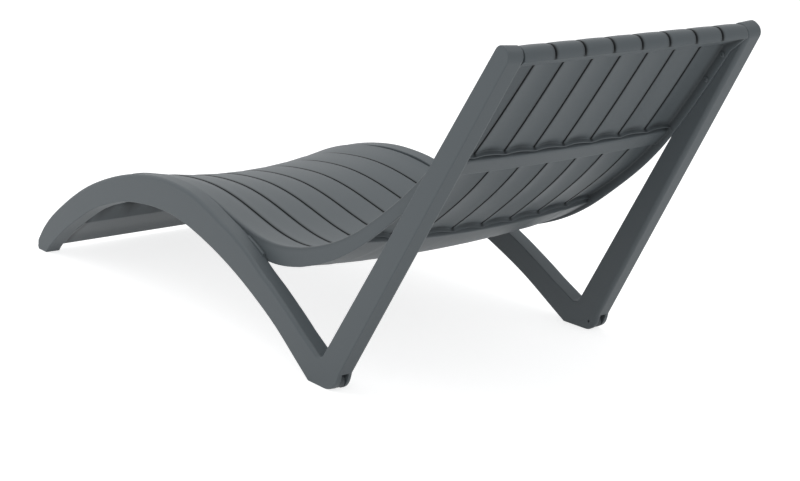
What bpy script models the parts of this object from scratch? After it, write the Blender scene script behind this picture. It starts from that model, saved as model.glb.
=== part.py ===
"""Slatted sun lounger: two leaning side frames carry one moulded, slatted seat shell.

Run with: blender --background --python part.py
Metres, +Z up. -Y is the foot end, +Y the head end, +X the lying user's left.
The origin is on the floor, under the middle of the lounger.
"""
import math

import bmesh
import bpy
import numpy as np
from mathutils import Matrix, Vector

# Driving dimensions of the whole lounger
LOUNGER_LENGTH = 1.800
LOUNGER_WIDTH = 0.700
LOUNGER_HEIGHT = 0.701
FRAME_LEAN = math.radians(4.38)
FIT_GAP = 0.0003

# Side frames: plate thickness, soft and crisp edge rounding, corner radii
FRAME_THICKNESS = 0.0356
SOFT_EDGE = 0.0085
CRISP_EDGE = 0.0022
V_CORNER_RADIUS = 0.019
BRACE_TOP_RADIUS = 0.0168
TOE_RADIUS = 0.012
OVERRUN = 0.010

# Seat shell: wall sizes and the cross bars under the slats
SLAT_COUNT = 8
SLOT_WIDTH = 0.0038
SLAT_EDGE_DEPTH = 0.0101
SLAT_MIDDLE_DEPTH = 0.0058
SLAT_CROWN = 0.0010
GROOVE_DEPTH = 0.0045
SKIRT_WALL = 0.0045
SKIRT_DEPTH_SEAT = 0.0415
SKIRT_DEPTH_BACK = 0.0285
SHELL_EDGE_ROUND = 0.0035
WALL_DRAFT = 0.0006
DISH_DEPTH = 0.0305
FOOT_EDGE_LENGTH = 0.0425
FOOT_BOX_DEPTH = 0.0335
SEAT_BAR_DEPTH = 0.0240
SEAT_BAR_TOP_DEPTH = 0.0230
BACK_BAR_DEPTH = 0.0175
BACK_BAR_LOW_DEPTH = 0.0128
BAR_RECESS_DEPTH = 0.0070
LIP_DEPTH = 0.0160
BACK_LIP_DEPTH = 0.0110
LIP_SCALLOP = 0.0015
TOP_ROLL_RADIUS = 0.0173
TOP_FRONT_RADIUS = 0.0230
ROLL_LIP = 0.0030
ROLL_END_ANGLE = math.radians(28)

# Foot pads: a glide plate let into the foot, with a peg that pushes into the frame
PAD_THICKNESS = 0.0040
PAD_PROUD = 0.0010
PAD_INSET = 0.0060
PEG_RADIUS = 0.0040
PEG_LENGTH = 0.0120
PEG_CLEARANCE = 0.0003

# Wheels in the heels, each on its own axle pin
WHEEL_RADIUS = 0.0150
WHEEL_WIDTH = 0.0135
WHEEL_SIDE_GAP = 0.0010
WHEEL_ARCH_GAP = 0.0020
WHEEL_FLOOR_GAP = 0.0056
WHEEL_BEHIND_FLAT = 0.0196
TREAD_ROUND = 0.0020
HUB_RECESS = 0.0010
AXLE_RADIUS = 0.0030
AXLE_SHANK = 0.0052
RUNNING_CLEARANCE = 0.0003

# Fixing screws, driven outwards through the shell's skirts into the frames
SCREW_RADIUS = 0.0025
SCREW_REACH = 0.0150
SCREW_HEAD_RADIUS = 0.0055
SCREW_HEAD_HEIGHT = 0.0030
SCREW_DROP = 0.0200
SCREW_CLEARANCE = 0.0003

# Outline of a side frame, as shares of the length from the toe and of the height
ARCH_TOP_SHARES = [
    (0.0001, 0.035), (0.017, 0.086), (0.035, 0.127), (0.073, 0.192), (0.110, 0.246), (0.146, 0.291),
    (0.182, 0.327), (0.217, 0.356), (0.268, 0.389), (0.315, 0.408), (0.356, 0.416), (0.397, 0.413),
    (0.424, 0.406), (0.444, 0.396), (0.474, 0.375), (0.498, 0.355), (0.527, 0.332), (0.555, 0.304),
    (0.575, 0.279), (0.594, 0.252), (0.621, 0.219), (0.645, 0.187), (0.668, 0.155), (0.686, 0.128),
]
ARCH_BOTTOM_SHARES = [
    (0.704, 0.000), (0.665, 0.061), (0.633, 0.110), (0.595, 0.158), (0.553, 0.204), (0.503, 0.249),
    (0.458, 0.281), (0.420, 0.302), (0.384, 0.314), (0.359, 0.316), (0.332, 0.315), (0.306, 0.310),
    (0.279, 0.302), (0.251, 0.289), (0.223, 0.270), (0.194, 0.247), (0.165, 0.218), (0.131, 0.174),
    (0.105, 0.138), (0.084, 0.106), (0.058, 0.061), (0.036, 0.017), (0.030, 0.000),
]
V_BOTTOM_SHARES = (0.726, 0.075)
BRACE_FRONT_TOP_SHARES = (0.9843, 1.0145)
BRACE_REAR_TOP_SHARES = (1.0019, 0.9833)
HEEL_SHARES = [(0.7612, 0.0560), (0.7592, 0.0400), (0.7545, 0.0200), (0.7470, 0.0070), (0.7360, 0.0000)]
REAR_FLAT_SHARES = (0.704, 0.736)
FRONT_FLAT_SHARES = (0.005, 0.030)

# Middle line of the shell's upper face, in the same shares
SEAT_LINE_SHARES = [
    (0.018, 0.030), (0.034, 0.075), (0.074, 0.144), (0.111, 0.199), (0.147, 0.243), (0.182, 0.281),
    (0.217, 0.312), (0.268, 0.344), (0.315, 0.359), (0.350, 0.364), (0.385, 0.363), (0.420, 0.354),
    (0.455, 0.338), (0.525, 0.296), (0.596, 0.278), (0.666, 0.312), (0.736, 0.388), (0.794, 0.488),
    (0.853, 0.614), (0.911, 0.779), (0.970, 0.969),
]

# Places along the shell, as shares of the length from the toe
DISH_FADE_SHARES = (0.600, 1.000)
SKIRT_FADE_SHARES = (0.580, 0.815)
FOOT_BOX_END_SHARE = 0.1250
SEAT_BAR_SHARES = (0.6430, 0.7560)
BACK_BAR_SHARES = (0.8585, 0.8775)
BAR_DISH_SHARE = 0.50
SLOT_TOP_SHARE = 0.9640
RECESS_LENGTH = 0.0085
LIP_THICKNESS = 0.0026
BAR_CORNER = 0.0040
STATION_STEP = 0.094
SLAT_COLUMN_SHARES = (0.0, 0.28, 0.72, 1.0)

# Screw places along the shell, as shares of the length from the toe
SCREW_SHARES = (0.160, 0.280, 0.400, 0.520, 0.935, 0.958)

# Moulding steps: how many points make a round stretch
ARCH_STEPS = 24
CORNER_STEPS = 6
EDGE_STEPS = 2
ROLL_STEPS = 5
ROUND_SEGMENTS = 16
SCREW_SEGMENTS = 8

# Colours of the two plastics and the steel
PLASTIC_COLOUR = (0.118, 0.133, 0.140, 1.0)
PAD_COLOUR = (0.055, 0.060, 0.063, 1.0)
STEEL_COLOUR = (0.48, 0.49, 0.50, 1.0)


def clear_scene():
    """Start from an empty scene."""
    for item in list(bpy.data.objects):
        bpy.data.objects.remove(item, do_unlink=True)


def make_material(name, colour, roughness, metallic=0.0):
    """Return a plain Principled material."""
    material = bpy.data.materials.new(name)
    material.use_nodes = True
    shader = material.node_tree.nodes["Principled BSDF"]
    shader.inputs["Base Color"].default_value = colour
    shader.inputs["Roughness"].default_value = roughness
    shader.inputs["Metallic"].default_value = metallic
    material.diffuse_color = colour
    return material


def place(shares):
    """Turn shares of the length and height into a point of the side view."""
    return Vector((-LOUNGER_LENGTH / 2 + shares[0] * LOUNGER_LENGTH, shares[1] * LOUNGER_HEIGHT))


def along(share):
    """Turn a share of the length into a place along Y."""
    return -LOUNGER_LENGTH / 2 + share * LOUNGER_LENGTH


def spline(knots, places):
    """Natural cubic spline through the knots: one value for each place."""
    x = np.array([knot[0] for knot in knots])
    y = np.array([knot[1] for knot in knots])
    h = np.diff(x)
    count = len(x)
    system = np.zeros((count, count))
    right = np.zeros(count)
    system[0, 0] = 1
    system[-1, -1] = 1
    for i in range(1, count - 1):
        system[i, i - 1:i + 2] = (h[i - 1], 2 * (h[i - 1] + h[i]), h[i])
        right[i] = 6 * ((y[i + 1] - y[i]) / h[i] - (y[i] - y[i - 1]) / h[i - 1])
    bend = np.linalg.solve(system, right)
    i = np.clip(np.searchsorted(x, places) - 1, 0, count - 2)
    a = (x[i + 1] - places) / h[i]
    b = 1 - a
    curve = (a ** 3 - a) * bend[i] + (b ** 3 - b) * bend[i + 1]
    return a * y[i] + b * y[i + 1] + curve * h[i] ** 2 / 6


def smooth_curve(points, steps):
    """Points at even steps along a smooth curve through the given points."""
    run = [0.0]
    for first, second in zip(points, points[1:]):
        run.append(run[-1] + (second - first).length)
    places = np.linspace(0, run[-1], steps + 1)
    ys = spline([(s, p[0]) for s, p in zip(run, points)], places)
    zs = spline([(s, p[1]) for s, p in zip(run, points)], places)
    return [Vector((y, z)) for y, z in zip(ys, zs)]


def rounded_corner(before, corner, after, radius):
    """Replace a corner by an arc that is tangent to both of its sides."""
    to_before = (before - corner).normalized()
    to_after = (after - corner).normalized()
    half = math.acos(max(-1, min(1, to_before.dot(to_after)))) / 2
    middle = corner + (to_before + to_after).normalized() * radius / math.sin(half)
    start = corner + to_before * radius / math.tan(half) - middle
    end = corner + to_after * radius / math.tan(half) - middle
    sweep = start.angle_signed(end)
    return [middle + Matrix.Rotation(-sweep * i / CORNER_STEPS, 2) @ start for i in range(CORNER_STEPS + 1)]


def half_width(height):
    """Half of the shell's width at a height: the frames lean inwards."""
    inside = (FRAME_THICKNESS + FIT_GAP) / math.cos(FRAME_LEAN)
    return LOUNGER_WIDTH / 2 - inside - height * math.tan(FRAME_LEAN)


def new_object(name, bm, material, smooth_angle=None):
    """Make an object from a bmesh, with its faces pointing out."""
    bmesh.ops.recalc_face_normals(bm, faces=bm.faces)
    mesh = bpy.data.meshes.new(name)
    bm.to_mesh(mesh)
    bm.free()
    mesh.materials.append(material)
    if smooth_angle is not None:
        mesh.shade_smooth()
        mesh.set_sharp_from_angle(angle=smooth_angle)
    item = bpy.data.objects.new(name, mesh)
    bpy.context.scene.collection.objects.link(item)
    return item


def turned_mesh(profile, segments):
    """Spin a closed (radius, height) profile that starts and ends on the Z axis."""
    bm = bmesh.new()
    rings = []
    for radius, height in profile:
        if radius == 0:
            rings.append([bm.verts.new((0, 0, height))])
            continue
        turn = [2 * math.pi * i / segments for i in range(segments)]
        rings.append([bm.verts.new((radius * math.cos(a), radius * math.sin(a), height)) for a in turn])
    for low, high in zip(rings, rings[1:]):
        for i in range(segments):
            j = (i + 1) % segments
            corners = [low[i % len(low)], low[j % len(low)], high[j % len(high)], high[i % len(high)]]
            bm.faces.new(list(dict.fromkeys(corners)))
    return bm


def hide_cutter(item):
    """Mark an object as a cutter that is not part of the lounger."""
    item.hide_render = True
    item.display_type = "WIRE"


def cut(item, cutter, label):
    """Subtract a cutter from an object."""
    modifier = item.modifiers.new(label, "BOOLEAN")
    modifier.operation = "DIFFERENCE"
    modifier.solver = "EXACT"
    modifier.object = cutter


def frame_outline():
    """Closed, anticlockwise outline of a side frame, with its outer and inner edge rounding at each point."""
    top = smooth_curve([place(s) for s in ARCH_TOP_SHARES], ARCH_STEPS)
    bottom = smooth_curve([place(s) for s in ARCH_BOTTOM_SHARES], ARCH_STEPS)
    heel = smooth_curve([place(s) for s in HEEL_SHARES], CORNER_STEPS)
    v_bottom = place(V_BOTTOM_SHARES)
    front_top = place(BRACE_FRONT_TOP_SHARES)
    rear_top = place(BRACE_REAR_TOP_SHARES)
    soft_outside = (SOFT_EDGE, CRISP_EDGE)
    soft_inside = (CRISP_EDGE, SOFT_EDGE)
    crisp = (CRISP_EDGE, CRISP_EDGE)
    stretches = [
        (top, soft_outside, soft_outside),
        (rounded_corner(top[-1], v_bottom, front_top, V_CORNER_RADIUS), soft_outside, crisp),
        (rounded_corner(v_bottom, front_top, rear_top, BRACE_TOP_RADIUS), crisp, crisp),
        (rounded_corner(front_top, rear_top, heel[0], BRACE_TOP_RADIUS), crisp, soft_inside),
        (heel, soft_inside, crisp),
        (bottom, crisp, crisp),
        (rounded_corner(bottom[-1], Vector((top[0][0], 0)), top[0], TOE_RADIUS), crisp, soft_outside),
    ]
    outline = []
    for points, first, last in stretches:
        for i, point in enumerate(points):
            share = i / (len(points) - 1)
            outline.append((point, [a + (b - a) * share for a, b in zip(first, last)]))
    return outline[::-1]


def leaning_place(side, depth, y, height):
    """World point at a depth inside a side frame's outer face and a height above the floor."""
    out = depth / math.cos(FRAME_LEAN) + height * math.tan(FRAME_LEAN)
    return Vector((side * (LOUNGER_WIDTH / 2 - out), y, height))


def frame_normal(side):
    """Unit vector square to a side frame, pointing out of the lounger."""
    return Vector((side * math.cos(FRAME_LEAN), 0, math.sin(FRAME_LEAN)))


def inset_outline(points, distances):
    """Move the points of a closed, anticlockwise outline inwards, square to its sides."""
    moved = []
    for i, point in enumerate(points):
        ahead = (points[(i + 1) % len(points)] - point).normalized()
        behind = (point - points[i - 1]).normalized()
        across = (ahead + behind).normalized()
        moved.append(point + Vector((-across[1], across[0])) * distances[i] / across.dot(ahead))
    return moved


def make_frame(name, side, material):
    """One side frame: arch, rear leg and brace in one leaning moulding with rounded edges."""
    normal = frame_normal(side)
    up = Vector((-side * math.sin(FRAME_LEAN), 0, math.cos(FRAME_LEAN)))
    foot = Vector((side * LOUNGER_WIDTH / 2, 0, 0))
    points, roundings = zip(*frame_outline())
    turns = [math.pi / 2 * i / EDGE_STEPS for i in range(EDGE_STEPS + 1)]
    rings = [(0, turn) for turn in turns] + [(1, turn) for turn in reversed(turns)]
    bm = bmesh.new()
    loops = []
    for face, turn in rings:
        insets = [rounding[face] * (1 - math.sin(turn)) for rounding in roundings]
        depths = [rounding[face] * (1 - math.cos(turn)) for rounding in roundings]
        if face == 1:
            depths = [FRAME_THICKNESS - depth for depth in depths]
        loops.append([bm.verts.new(foot - normal * depth + Vector((0, y, 0)) + up * z / math.cos(FRAME_LEAN))
                      for (y, z), depth in zip(inset_outline(points, insets), depths)])
    for outer, inner in zip(loops, loops[1:]):
        for i in range(len(points)):
            j = (i + 1) % len(points)
            bm.faces.new((outer[i], outer[j], inner[j], inner[i]))
    cheeks = [bm.faces.new(loops[0]), bm.faces.new(reversed(loops[-1]))]
    bm.normal_update()
    bmesh.ops.triangulate(bm, faces=cheeks)
    floor = bmesh.ops.bisect_plane(
        bm, geom=bm.verts[:] + bm.edges[:] + bm.faces[:], plane_co=(0, 0, PAD_PROUD),
        plane_no=(0, 0, 1), clear_inner=True)
    edges = [e for e in floor["geom_cut"] if isinstance(e, bmesh.types.BMEdge)]
    bmesh.ops.holes_fill(bm, edges=edges)
    return new_object(name, bm, material, math.radians(32))


def wheel_centre(side):
    """Middle of a wheel, in the middle of the frame's thickness at the heel."""
    y = along(REAR_FLAT_SHARES[1]) + WHEEL_BEHIND_FLAT
    return leaning_place(side, FRAME_THICKNESS / 2, y, WHEEL_FLOOR_GAP + WHEEL_RADIUS)


def wheel_pocket(side, material):
    """Cutters for the slot in the heel that the wheel turns in, open down and back, and for its axle."""
    half = WHEEL_WIDTH / 2 + WHEEL_SIDE_GAP
    radius = WHEEL_RADIUS + WHEEL_ARCH_GAP
    mouth = radius + OVERRUN * 2
    arch = [math.pi / 2 * (1 + i / CORNER_STEPS) for i in range(CORNER_STEPS + 1)]
    outline = [(radius * math.cos(a), radius * math.sin(a)) for a in arch]
    outline += [(-radius, -mouth), (mouth, -mouth), (mouth, radius)]
    pocket = bmesh.new()
    face = pocket.faces.new([pocket.verts.new((-half, y, z)) for y, z in outline])
    grown = bmesh.ops.extrude_face_region(pocket, geom=[face])
    moved = [v for v in grown["geom"] if isinstance(v, bmesh.types.BMVert)]
    bmesh.ops.translate(pocket, verts=moved, vec=(2 * half, 0, 0))
    bore = AXLE_RADIUS + RUNNING_CLEARANCE
    reach = half + AXLE_SHANK + RUNNING_CLEARANCE
    hole = turned_mesh([(0, -half - FRAME_THICKNESS), (bore, -half - FRAME_THICKNESS), (bore, reach), (0, reach)],
                       ROUND_SEGMENTS)
    hole.transform(Matrix.Rotation(side * math.pi / 2, 4, "Y"))
    cutters = []
    for label, bm in (("wheel pocket", pocket), ("axle hole", hole)):
        bm.transform(Matrix.Translation(wheel_centre(side)))
        cutter = new_object(f"{label} {side}", bm, material)
        hide_cutter(cutter)
        cutters.append(cutter)
    return cutters


def make_wheel(name, side, material):
    """A small wheel with a rounded tread, a recessed face and a bore for its axle."""
    half = WHEEL_WIDTH / 2
    bore = AXLE_RADIUS + RUNNING_CLEARANCE
    rim = WHEEL_RADIUS - TREAD_ROUND * 2
    boss = bore + TREAD_ROUND
    section = [
        (bore, -half), (boss, -half), (boss + HUB_RECESS, -half + HUB_RECESS), (rim, -half + HUB_RECESS),
        (rim + HUB_RECESS, -half), (WHEEL_RADIUS - TREAD_ROUND, -half), (WHEEL_RADIUS, -half + TREAD_ROUND),
    ]
    section += [(radius, -height) for radius, height in reversed(section)]
    bm = bmesh.new()
    rings = []
    for radius, height in section:
        turn = [2 * math.pi * i / ROUND_SEGMENTS for i in range(ROUND_SEGMENTS)]
        rings.append([bm.verts.new((height, radius * math.sin(a), radius * math.cos(a))) for a in turn])
    for low, high in zip(rings, rings[1:] + rings[:1]):
        for i in range(ROUND_SEGMENTS):
            j = (i + 1) % ROUND_SEGMENTS
            bm.faces.new((low[i], low[j], high[j], high[i]))
    item = new_object(name, bm, material, math.radians(35))
    item.location = wheel_centre(side)
    return item


def make_axle(name, side, material):
    """Axle pin, pushed in from the inner side of the heel and hidden from outside."""
    half = WHEEL_WIDTH / 2 + WHEEL_SIDE_GAP
    chamfer = AXLE_RADIUS / 5
    profile = [
        (0, -half - AXLE_SHANK), (AXLE_RADIUS - chamfer, -half - AXLE_SHANK),
        (AXLE_RADIUS, -half - AXLE_SHANK + chamfer), (AXLE_RADIUS, half + AXLE_SHANK - chamfer),
        (AXLE_RADIUS - chamfer, half + AXLE_SHANK), (0, half + AXLE_SHANK),
    ]
    bm = turned_mesh(profile, ROUND_SEGMENTS)
    bm.transform(Matrix.Rotation(side * math.pi / 2, 4, "Y"))
    item = new_object(name, bm, material, math.radians(35))
    item.location = wheel_centre(side)
    return item


def pad_span(flat_shares):
    """Front and rear ends of a foot pad along Y."""
    return along(flat_shares[0]) + PAD_INSET, along(flat_shares[1]) - PAD_INSET


def peg_place(side, flat_shares):
    """Where a pad's peg stands, at the top of the pad."""
    start, end = pad_span(flat_shares)
    return leaning_place(side, FRAME_THICKNESS / 2, (start + end) / 2, PAD_THICKNESS)


def pad_outline(flat_shares, grown):
    """Rounded outline of a pad about its middle, grown all round by a clearance."""
    start, end = pad_span(flat_shares)
    half_width = FRAME_THICKNESS / 2 - PAD_INSET
    half_length = (end - start) / 2
    corner = min(PAD_INSET / 2, half_length / 2, half_width / 2) + grown
    outline = []
    corners = [Vector((sx * (half_width + grown), sy * (half_length + grown)))
               for sx, sy in ((-1, -1), (1, -1), (1, 1), (-1, 1))]
    for i in range(4):
        outline += rounded_corner(corners[i - 1], corners[i], corners[(i + 1) % 4], corner)
    return outline


def pad_recess(name, side, flat_shares, material):
    """Cutters for the recess that a pad's plate sits in, and for the hole that its peg pushes into."""
    radius = PEG_RADIUS + PEG_CLEARANCE
    hole = turned_mesh([(0, -PAD_THICKNESS), (radius, -PAD_THICKNESS), (radius, PEG_LENGTH + PEG_CLEARANCE),
                        (0, PEG_LENGTH + PEG_CLEARANCE)], SCREW_SEGMENTS)
    recess = bmesh.new()
    outline = pad_outline(flat_shares, FIT_GAP)
    face = recess.faces.new([recess.verts.new((x, y, FIT_GAP)) for x, y in outline])
    grown = bmesh.ops.extrude_face_region(recess, geom=[face])
    moved = [v for v in grown["geom"] if isinstance(v, bmesh.types.BMVert)]
    bmesh.ops.translate(recess, verts=moved, vec=(0, 0, -PAD_THICKNESS - OVERRUN))
    cutters = []
    for label, bm in ((f"{name} recess", recess), (f"{name} peg hole", hole)):
        bm.transform(Matrix.Translation(peg_place(side, flat_shares)))
        cutter = new_object(label, bm, material)
        hide_cutter(cutter)
        cutters.append(cutter)
    return cutters


def make_pad(name, side, flat_shares, material):
    """Glide pad under a foot: a rounded plate with a peg, in one piece."""
    outline = pad_outline(flat_shares, 0)
    bm = bmesh.new()
    top = [bm.verts.new((x, y, 0)) for x, y in outline]
    low = [bm.verts.new((x, y, -PAD_THICKNESS)) for x, y in outline]
    bm.faces.new(list(reversed(low)))
    for i in range(len(top)):
        j = (i + 1) % len(top)
        bm.faces.new((low[i], low[j], top[j], top[i]))
    turn = [2 * math.pi * i / SCREW_SEGMENTS for i in range(SCREW_SEGMENTS)]
    foot = [bm.verts.new((PEG_RADIUS * math.cos(a), PEG_RADIUS * math.sin(a), 0)) for a in turn]
    head = [bm.verts.new((PEG_RADIUS * math.cos(a), PEG_RADIUS * math.sin(a), PEG_LENGTH)) for a in turn]
    for i in range(SCREW_SEGMENTS):
        j = (i + 1) % SCREW_SEGMENTS
        bm.faces.new((foot[i], foot[j], head[j], head[i]))
    bm.faces.new(head)
    ring = [bm.edges.get((top[i], top[(i + 1) % len(top)])) for i in range(len(top))]
    ring += [bm.edges.get((foot[i], foot[(i + 1) % SCREW_SEGMENTS])) for i in range(SCREW_SEGMENTS)]
    bmesh.ops.bridge_loops(bm, edges=ring)
    item = new_object(name, bm, material, math.radians(35))
    item.location = peg_place(side, flat_shares)
    return item


def seat_height(y):
    """Height of the middle line of the shell's upper face."""
    knots = [tuple(place(s)) for s in SEAT_LINE_SHARES]
    return spline(knots, np.atleast_1d(np.asarray(y, dtype=float)))


def fade(y, shares):
    """Smooth step from 0 to 1 between two places along the length."""
    t = (y - along(shares[0])) / (along(shares[1]) - along(shares[0]))
    t = max(0.0, min(1.0, t))
    return t * t * (3 - 2 * t)


def dish(y, share):
    """How far the upper face rises towards the sides, for a share of the half width."""
    return DISH_DEPTH * (1 - fade(y, DISH_FADE_SHARES)) * share * share


class Station:
    """One cross-section of the shell: a point of its upper face, and what is below it."""

    def __init__(self, point, normal, back, skirt_back=None, follow=1.0, hollow=0.0, slots=False, groove=True):
        self.point = point
        self.normal = normal
        self.back = back
        self.skirt_back = skirt_back
        self.follow = follow
        self.hollow = hollow
        self.slots = slots
        self.groove = groove


def seat_station(y, depth=SLAT_EDGE_DEPTH, **settings):
    """Cross-section where the seat line passes y, square to that line."""
    step = STATION_STEP / 16
    z = seat_height([y - step, y, y + step])
    tangent = Vector((2 * step, z[2] - z[0])).normalized()
    normal = Vector((-tangent[1], tangent[0]))
    point = Vector((y, z[1]))
    skirt = SKIRT_DEPTH_SEAT + (SKIRT_DEPTH_BACK - SKIRT_DEPTH_SEAT) * fade(y, SKIRT_FADE_SHARES)
    return Station(point, normal, point - normal * depth, point - normal * skirt, **settings)


def even_places(start, end):
    """Places between two ends, no further apart along the curve than the station step."""
    rise = abs(seat_height(end)[0] - seat_height(start)[0])
    count = max(2, math.ceil(math.hypot(end - start, rise) / STATION_STEP))
    return [start + (end - start) * i / count for i in range(count + 1)]


def slat_stretch(start, end):
    """Cross-sections of a stretch of open slats, hollow at the back of each slat."""
    hollow = SLAT_EDGE_DEPTH - SLAT_MIDDLE_DEPTH
    return [seat_station(y, hollow=hollow, slots=True) for y in even_places(start, end)]


def recess_and_lip(start, lip_depth, follow):
    """Cross-sections of the recess behind a bar and of the thin lip that closes it."""
    lip = start + RECESS_LENGTH
    return [
        seat_station(start, BAR_RECESS_DEPTH),
        seat_station(lip, BAR_RECESS_DEPTH),
        seat_station(lip + WALL_DRAFT, lip_depth, follow=follow, hollow=LIP_SCALLOP),
        seat_station(lip + LIP_THICKNESS, lip_depth, follow=follow, hollow=LIP_SCALLOP),
    ]


def cross_bar(shares, low_depth, top_depth, lip_depth):
    """Cross-sections of a bar across the back of the slats, flatter than the dish, with its recess and lip."""
    start, end = along(shares[0]), along(shares[1])
    face = even_places(start + BAR_CORNER, end - BAR_CORNER)
    depths = np.linspace(low_depth, top_depth, len(face))
    bar = [seat_station(start + WALL_DRAFT, low_depth - BAR_CORNER, follow=BAR_DISH_SHARE)]
    bar += [seat_station(y, depth, follow=BAR_DISH_SHARE) for y, depth in zip(face, depths)]
    bar.append(seat_station(end, top_depth - BAR_CORNER / 4, follow=BAR_DISH_SHARE))
    return bar + recess_and_lip(end + WALL_DRAFT, lip_depth, BAR_DISH_SHARE)


def foot_box():
    """Cross-sections of the closed box that stiffens the foot end."""
    foot = along(SEAT_LINE_SHARES[0][0])
    box_end = along(FOOT_BOX_END_SHARE)
    stations = [seat_station(y, FOOT_BOX_DEPTH, follow=0.0) for y in even_places(foot, box_end)]
    stations[0].back = stations[0].point + Vector((FOOT_EDGE_LENGTH, 0))
    for station in stations:
        station.skirt_back = None
    return stations + recess_and_lip(box_end + WALL_DRAFT, LIP_DEPTH, 0.0)


def shell_stations():
    """All cross-sections of the shell, from the foot edge to the rolled top edge."""
    after_recess = RECESS_LENGTH + LIP_THICKNESS + WALL_DRAFT * 2
    seat_start, seat_end = along(FOOT_BOX_END_SHARE) + after_recess, along(SEAT_BAR_SHARES[0])
    waist_start, waist_end = along(SEAT_BAR_SHARES[1]) + after_recess, along(BACK_BAR_SHARES[0])
    back_start, slot_top = along(BACK_BAR_SHARES[1]) + after_recess, along(SLOT_TOP_SHARE)
    stations = foot_box()
    stations += slat_stretch(seat_start, seat_end)
    stations += cross_bar(SEAT_BAR_SHARES, SEAT_BAR_DEPTH, SEAT_BAR_TOP_DEPTH, LIP_DEPTH)
    stations += slat_stretch(waist_start, waist_end)
    stations += cross_bar(BACK_BAR_SHARES, BACK_BAR_LOW_DEPTH, BACK_BAR_DEPTH, BACK_LIP_DEPTH)
    stations += slat_stretch(back_start, slot_top)
    return stations + top_roll(slot_top)


def top_roll(slot_top):
    """Cross-sections of the rolled edge: the face turns over the top and down behind."""
    neck = seat_station(slot_top)
    edge = seat_station(along(SEAT_LINE_SHARES[-1][0]))
    up = Vector((edge.normal[1], -edge.normal[0]))
    top = LOUNGER_HEIGHT - SLAT_CROWN
    corner = edge.point + up * (top - edge.point[1]) / up[1]
    centre = Vector((LOUNGER_LENGTH / 2 - SLAT_CROWN - TOP_ROLL_RADIUS, top - TOP_ROLL_RADIUS))
    turn = math.pi / 2 + ROLL_END_ANGLE
    angles = [math.pi / 2 - turn * i / ROLL_STEPS for i in range(ROLL_STEPS + 1)]
    face = rounded_corner(neck.point, corner, Vector((centre[0], top)), TOP_FRONT_RADIUS)[::2]
    face += [centre + Vector((math.cos(a), math.sin(a))) * TOP_ROLL_RADIUS for a in angles]
    inward = (centre - face[-1]).normalized()
    sole_end = face[-1] + Vector((inward[1], -inward[0])) * ROLL_LIP + inward * ROLL_LIP / 4
    rows = []
    for i, point in enumerate(face):
        ahead = face[min(i + 1, len(face) - 1)]
        behind = face[i - 1] if i else neck.point
        tangent = (ahead - behind).normalized()
        share = (i + 1) / len(face)
        back = neck.back.lerp(sole_end, share)
        skirt_back = neck.skirt_back.lerp(sole_end, share)
        rows.append(Station(point, Vector((-tangent[1], tangent[0])), back, skirt_back))
    for row in rows[-2:]:
        row.groove = False
    return rows


class Column:
    """One line along the shell: where it lies across the width, and what it carries."""

    def __init__(self, share, shift, crown=0.0, hollow=0.0, skirt=False, drop=0.0, slot=False):
        self.share = share
        self.shift = shift
        self.crown = crown
        self.hollow = hollow
        self.skirt = skirt
        self.drop = drop
        self.slot = slot


def shell_columns():
    """Lines along the shell: skirt walls, slats and the middles of the slots between them."""
    columns = []
    half_count = SLAT_COUNT / 2
    for slat in range(SLAT_COUNT):
        left = slat / half_count - 1
        right = (slat + 1) / half_count - 1
        first = slat == 0
        last = slat == SLAT_COUNT - 1
        if first:
            columns.append(Column(-1, 0, skirt=True, drop=SHELL_EDGE_ROUND))
            columns.append(Column(-1, SKIRT_WALL, skirt=True))
            columns.append(Column(-1, SKIRT_WALL + WALL_DRAFT))
        for share in SLAT_COLUMN_SHARES:
            if (first and share == SLAT_COLUMN_SHARES[0]) or (last and share == SLAT_COLUMN_SHARES[-1]):
                continue
            place_share = left + (right - left) * share
            shift = SLOT_WIDTH / 2 * (1 - 2 * share)
            inside = 0 < share < 1
            columns.append(Column(place_share, shift, crown=float(inside), hollow=float(inside)))
        if last:
            columns.append(Column(1, -SKIRT_WALL - WALL_DRAFT))
            columns.append(Column(1, -SKIRT_WALL, skirt=True))
            columns.append(Column(1, 0, skirt=True, drop=SHELL_EDGE_ROUND))
        else:
            columns.append(Column(right, 0, slot=True))
    return columns


def shell_points(station, column):
    """Upper and lower point of the shell for one station and one column."""
    lift = Vector((0, dish(station.point[0], column.share)))
    groove = GROOVE_DEPTH if column.slot and station.groove else 0.0
    rise = column.crown * SLAT_CROWN - column.drop - groove
    upper = station.point + lift + station.normal * rise
    lower = station.back + station.normal * station.hollow * column.hollow + lift * station.follow
    if column.skirt and station.skirt_back:
        lower = station.skirt_back + lift
    return upper, lower


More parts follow.
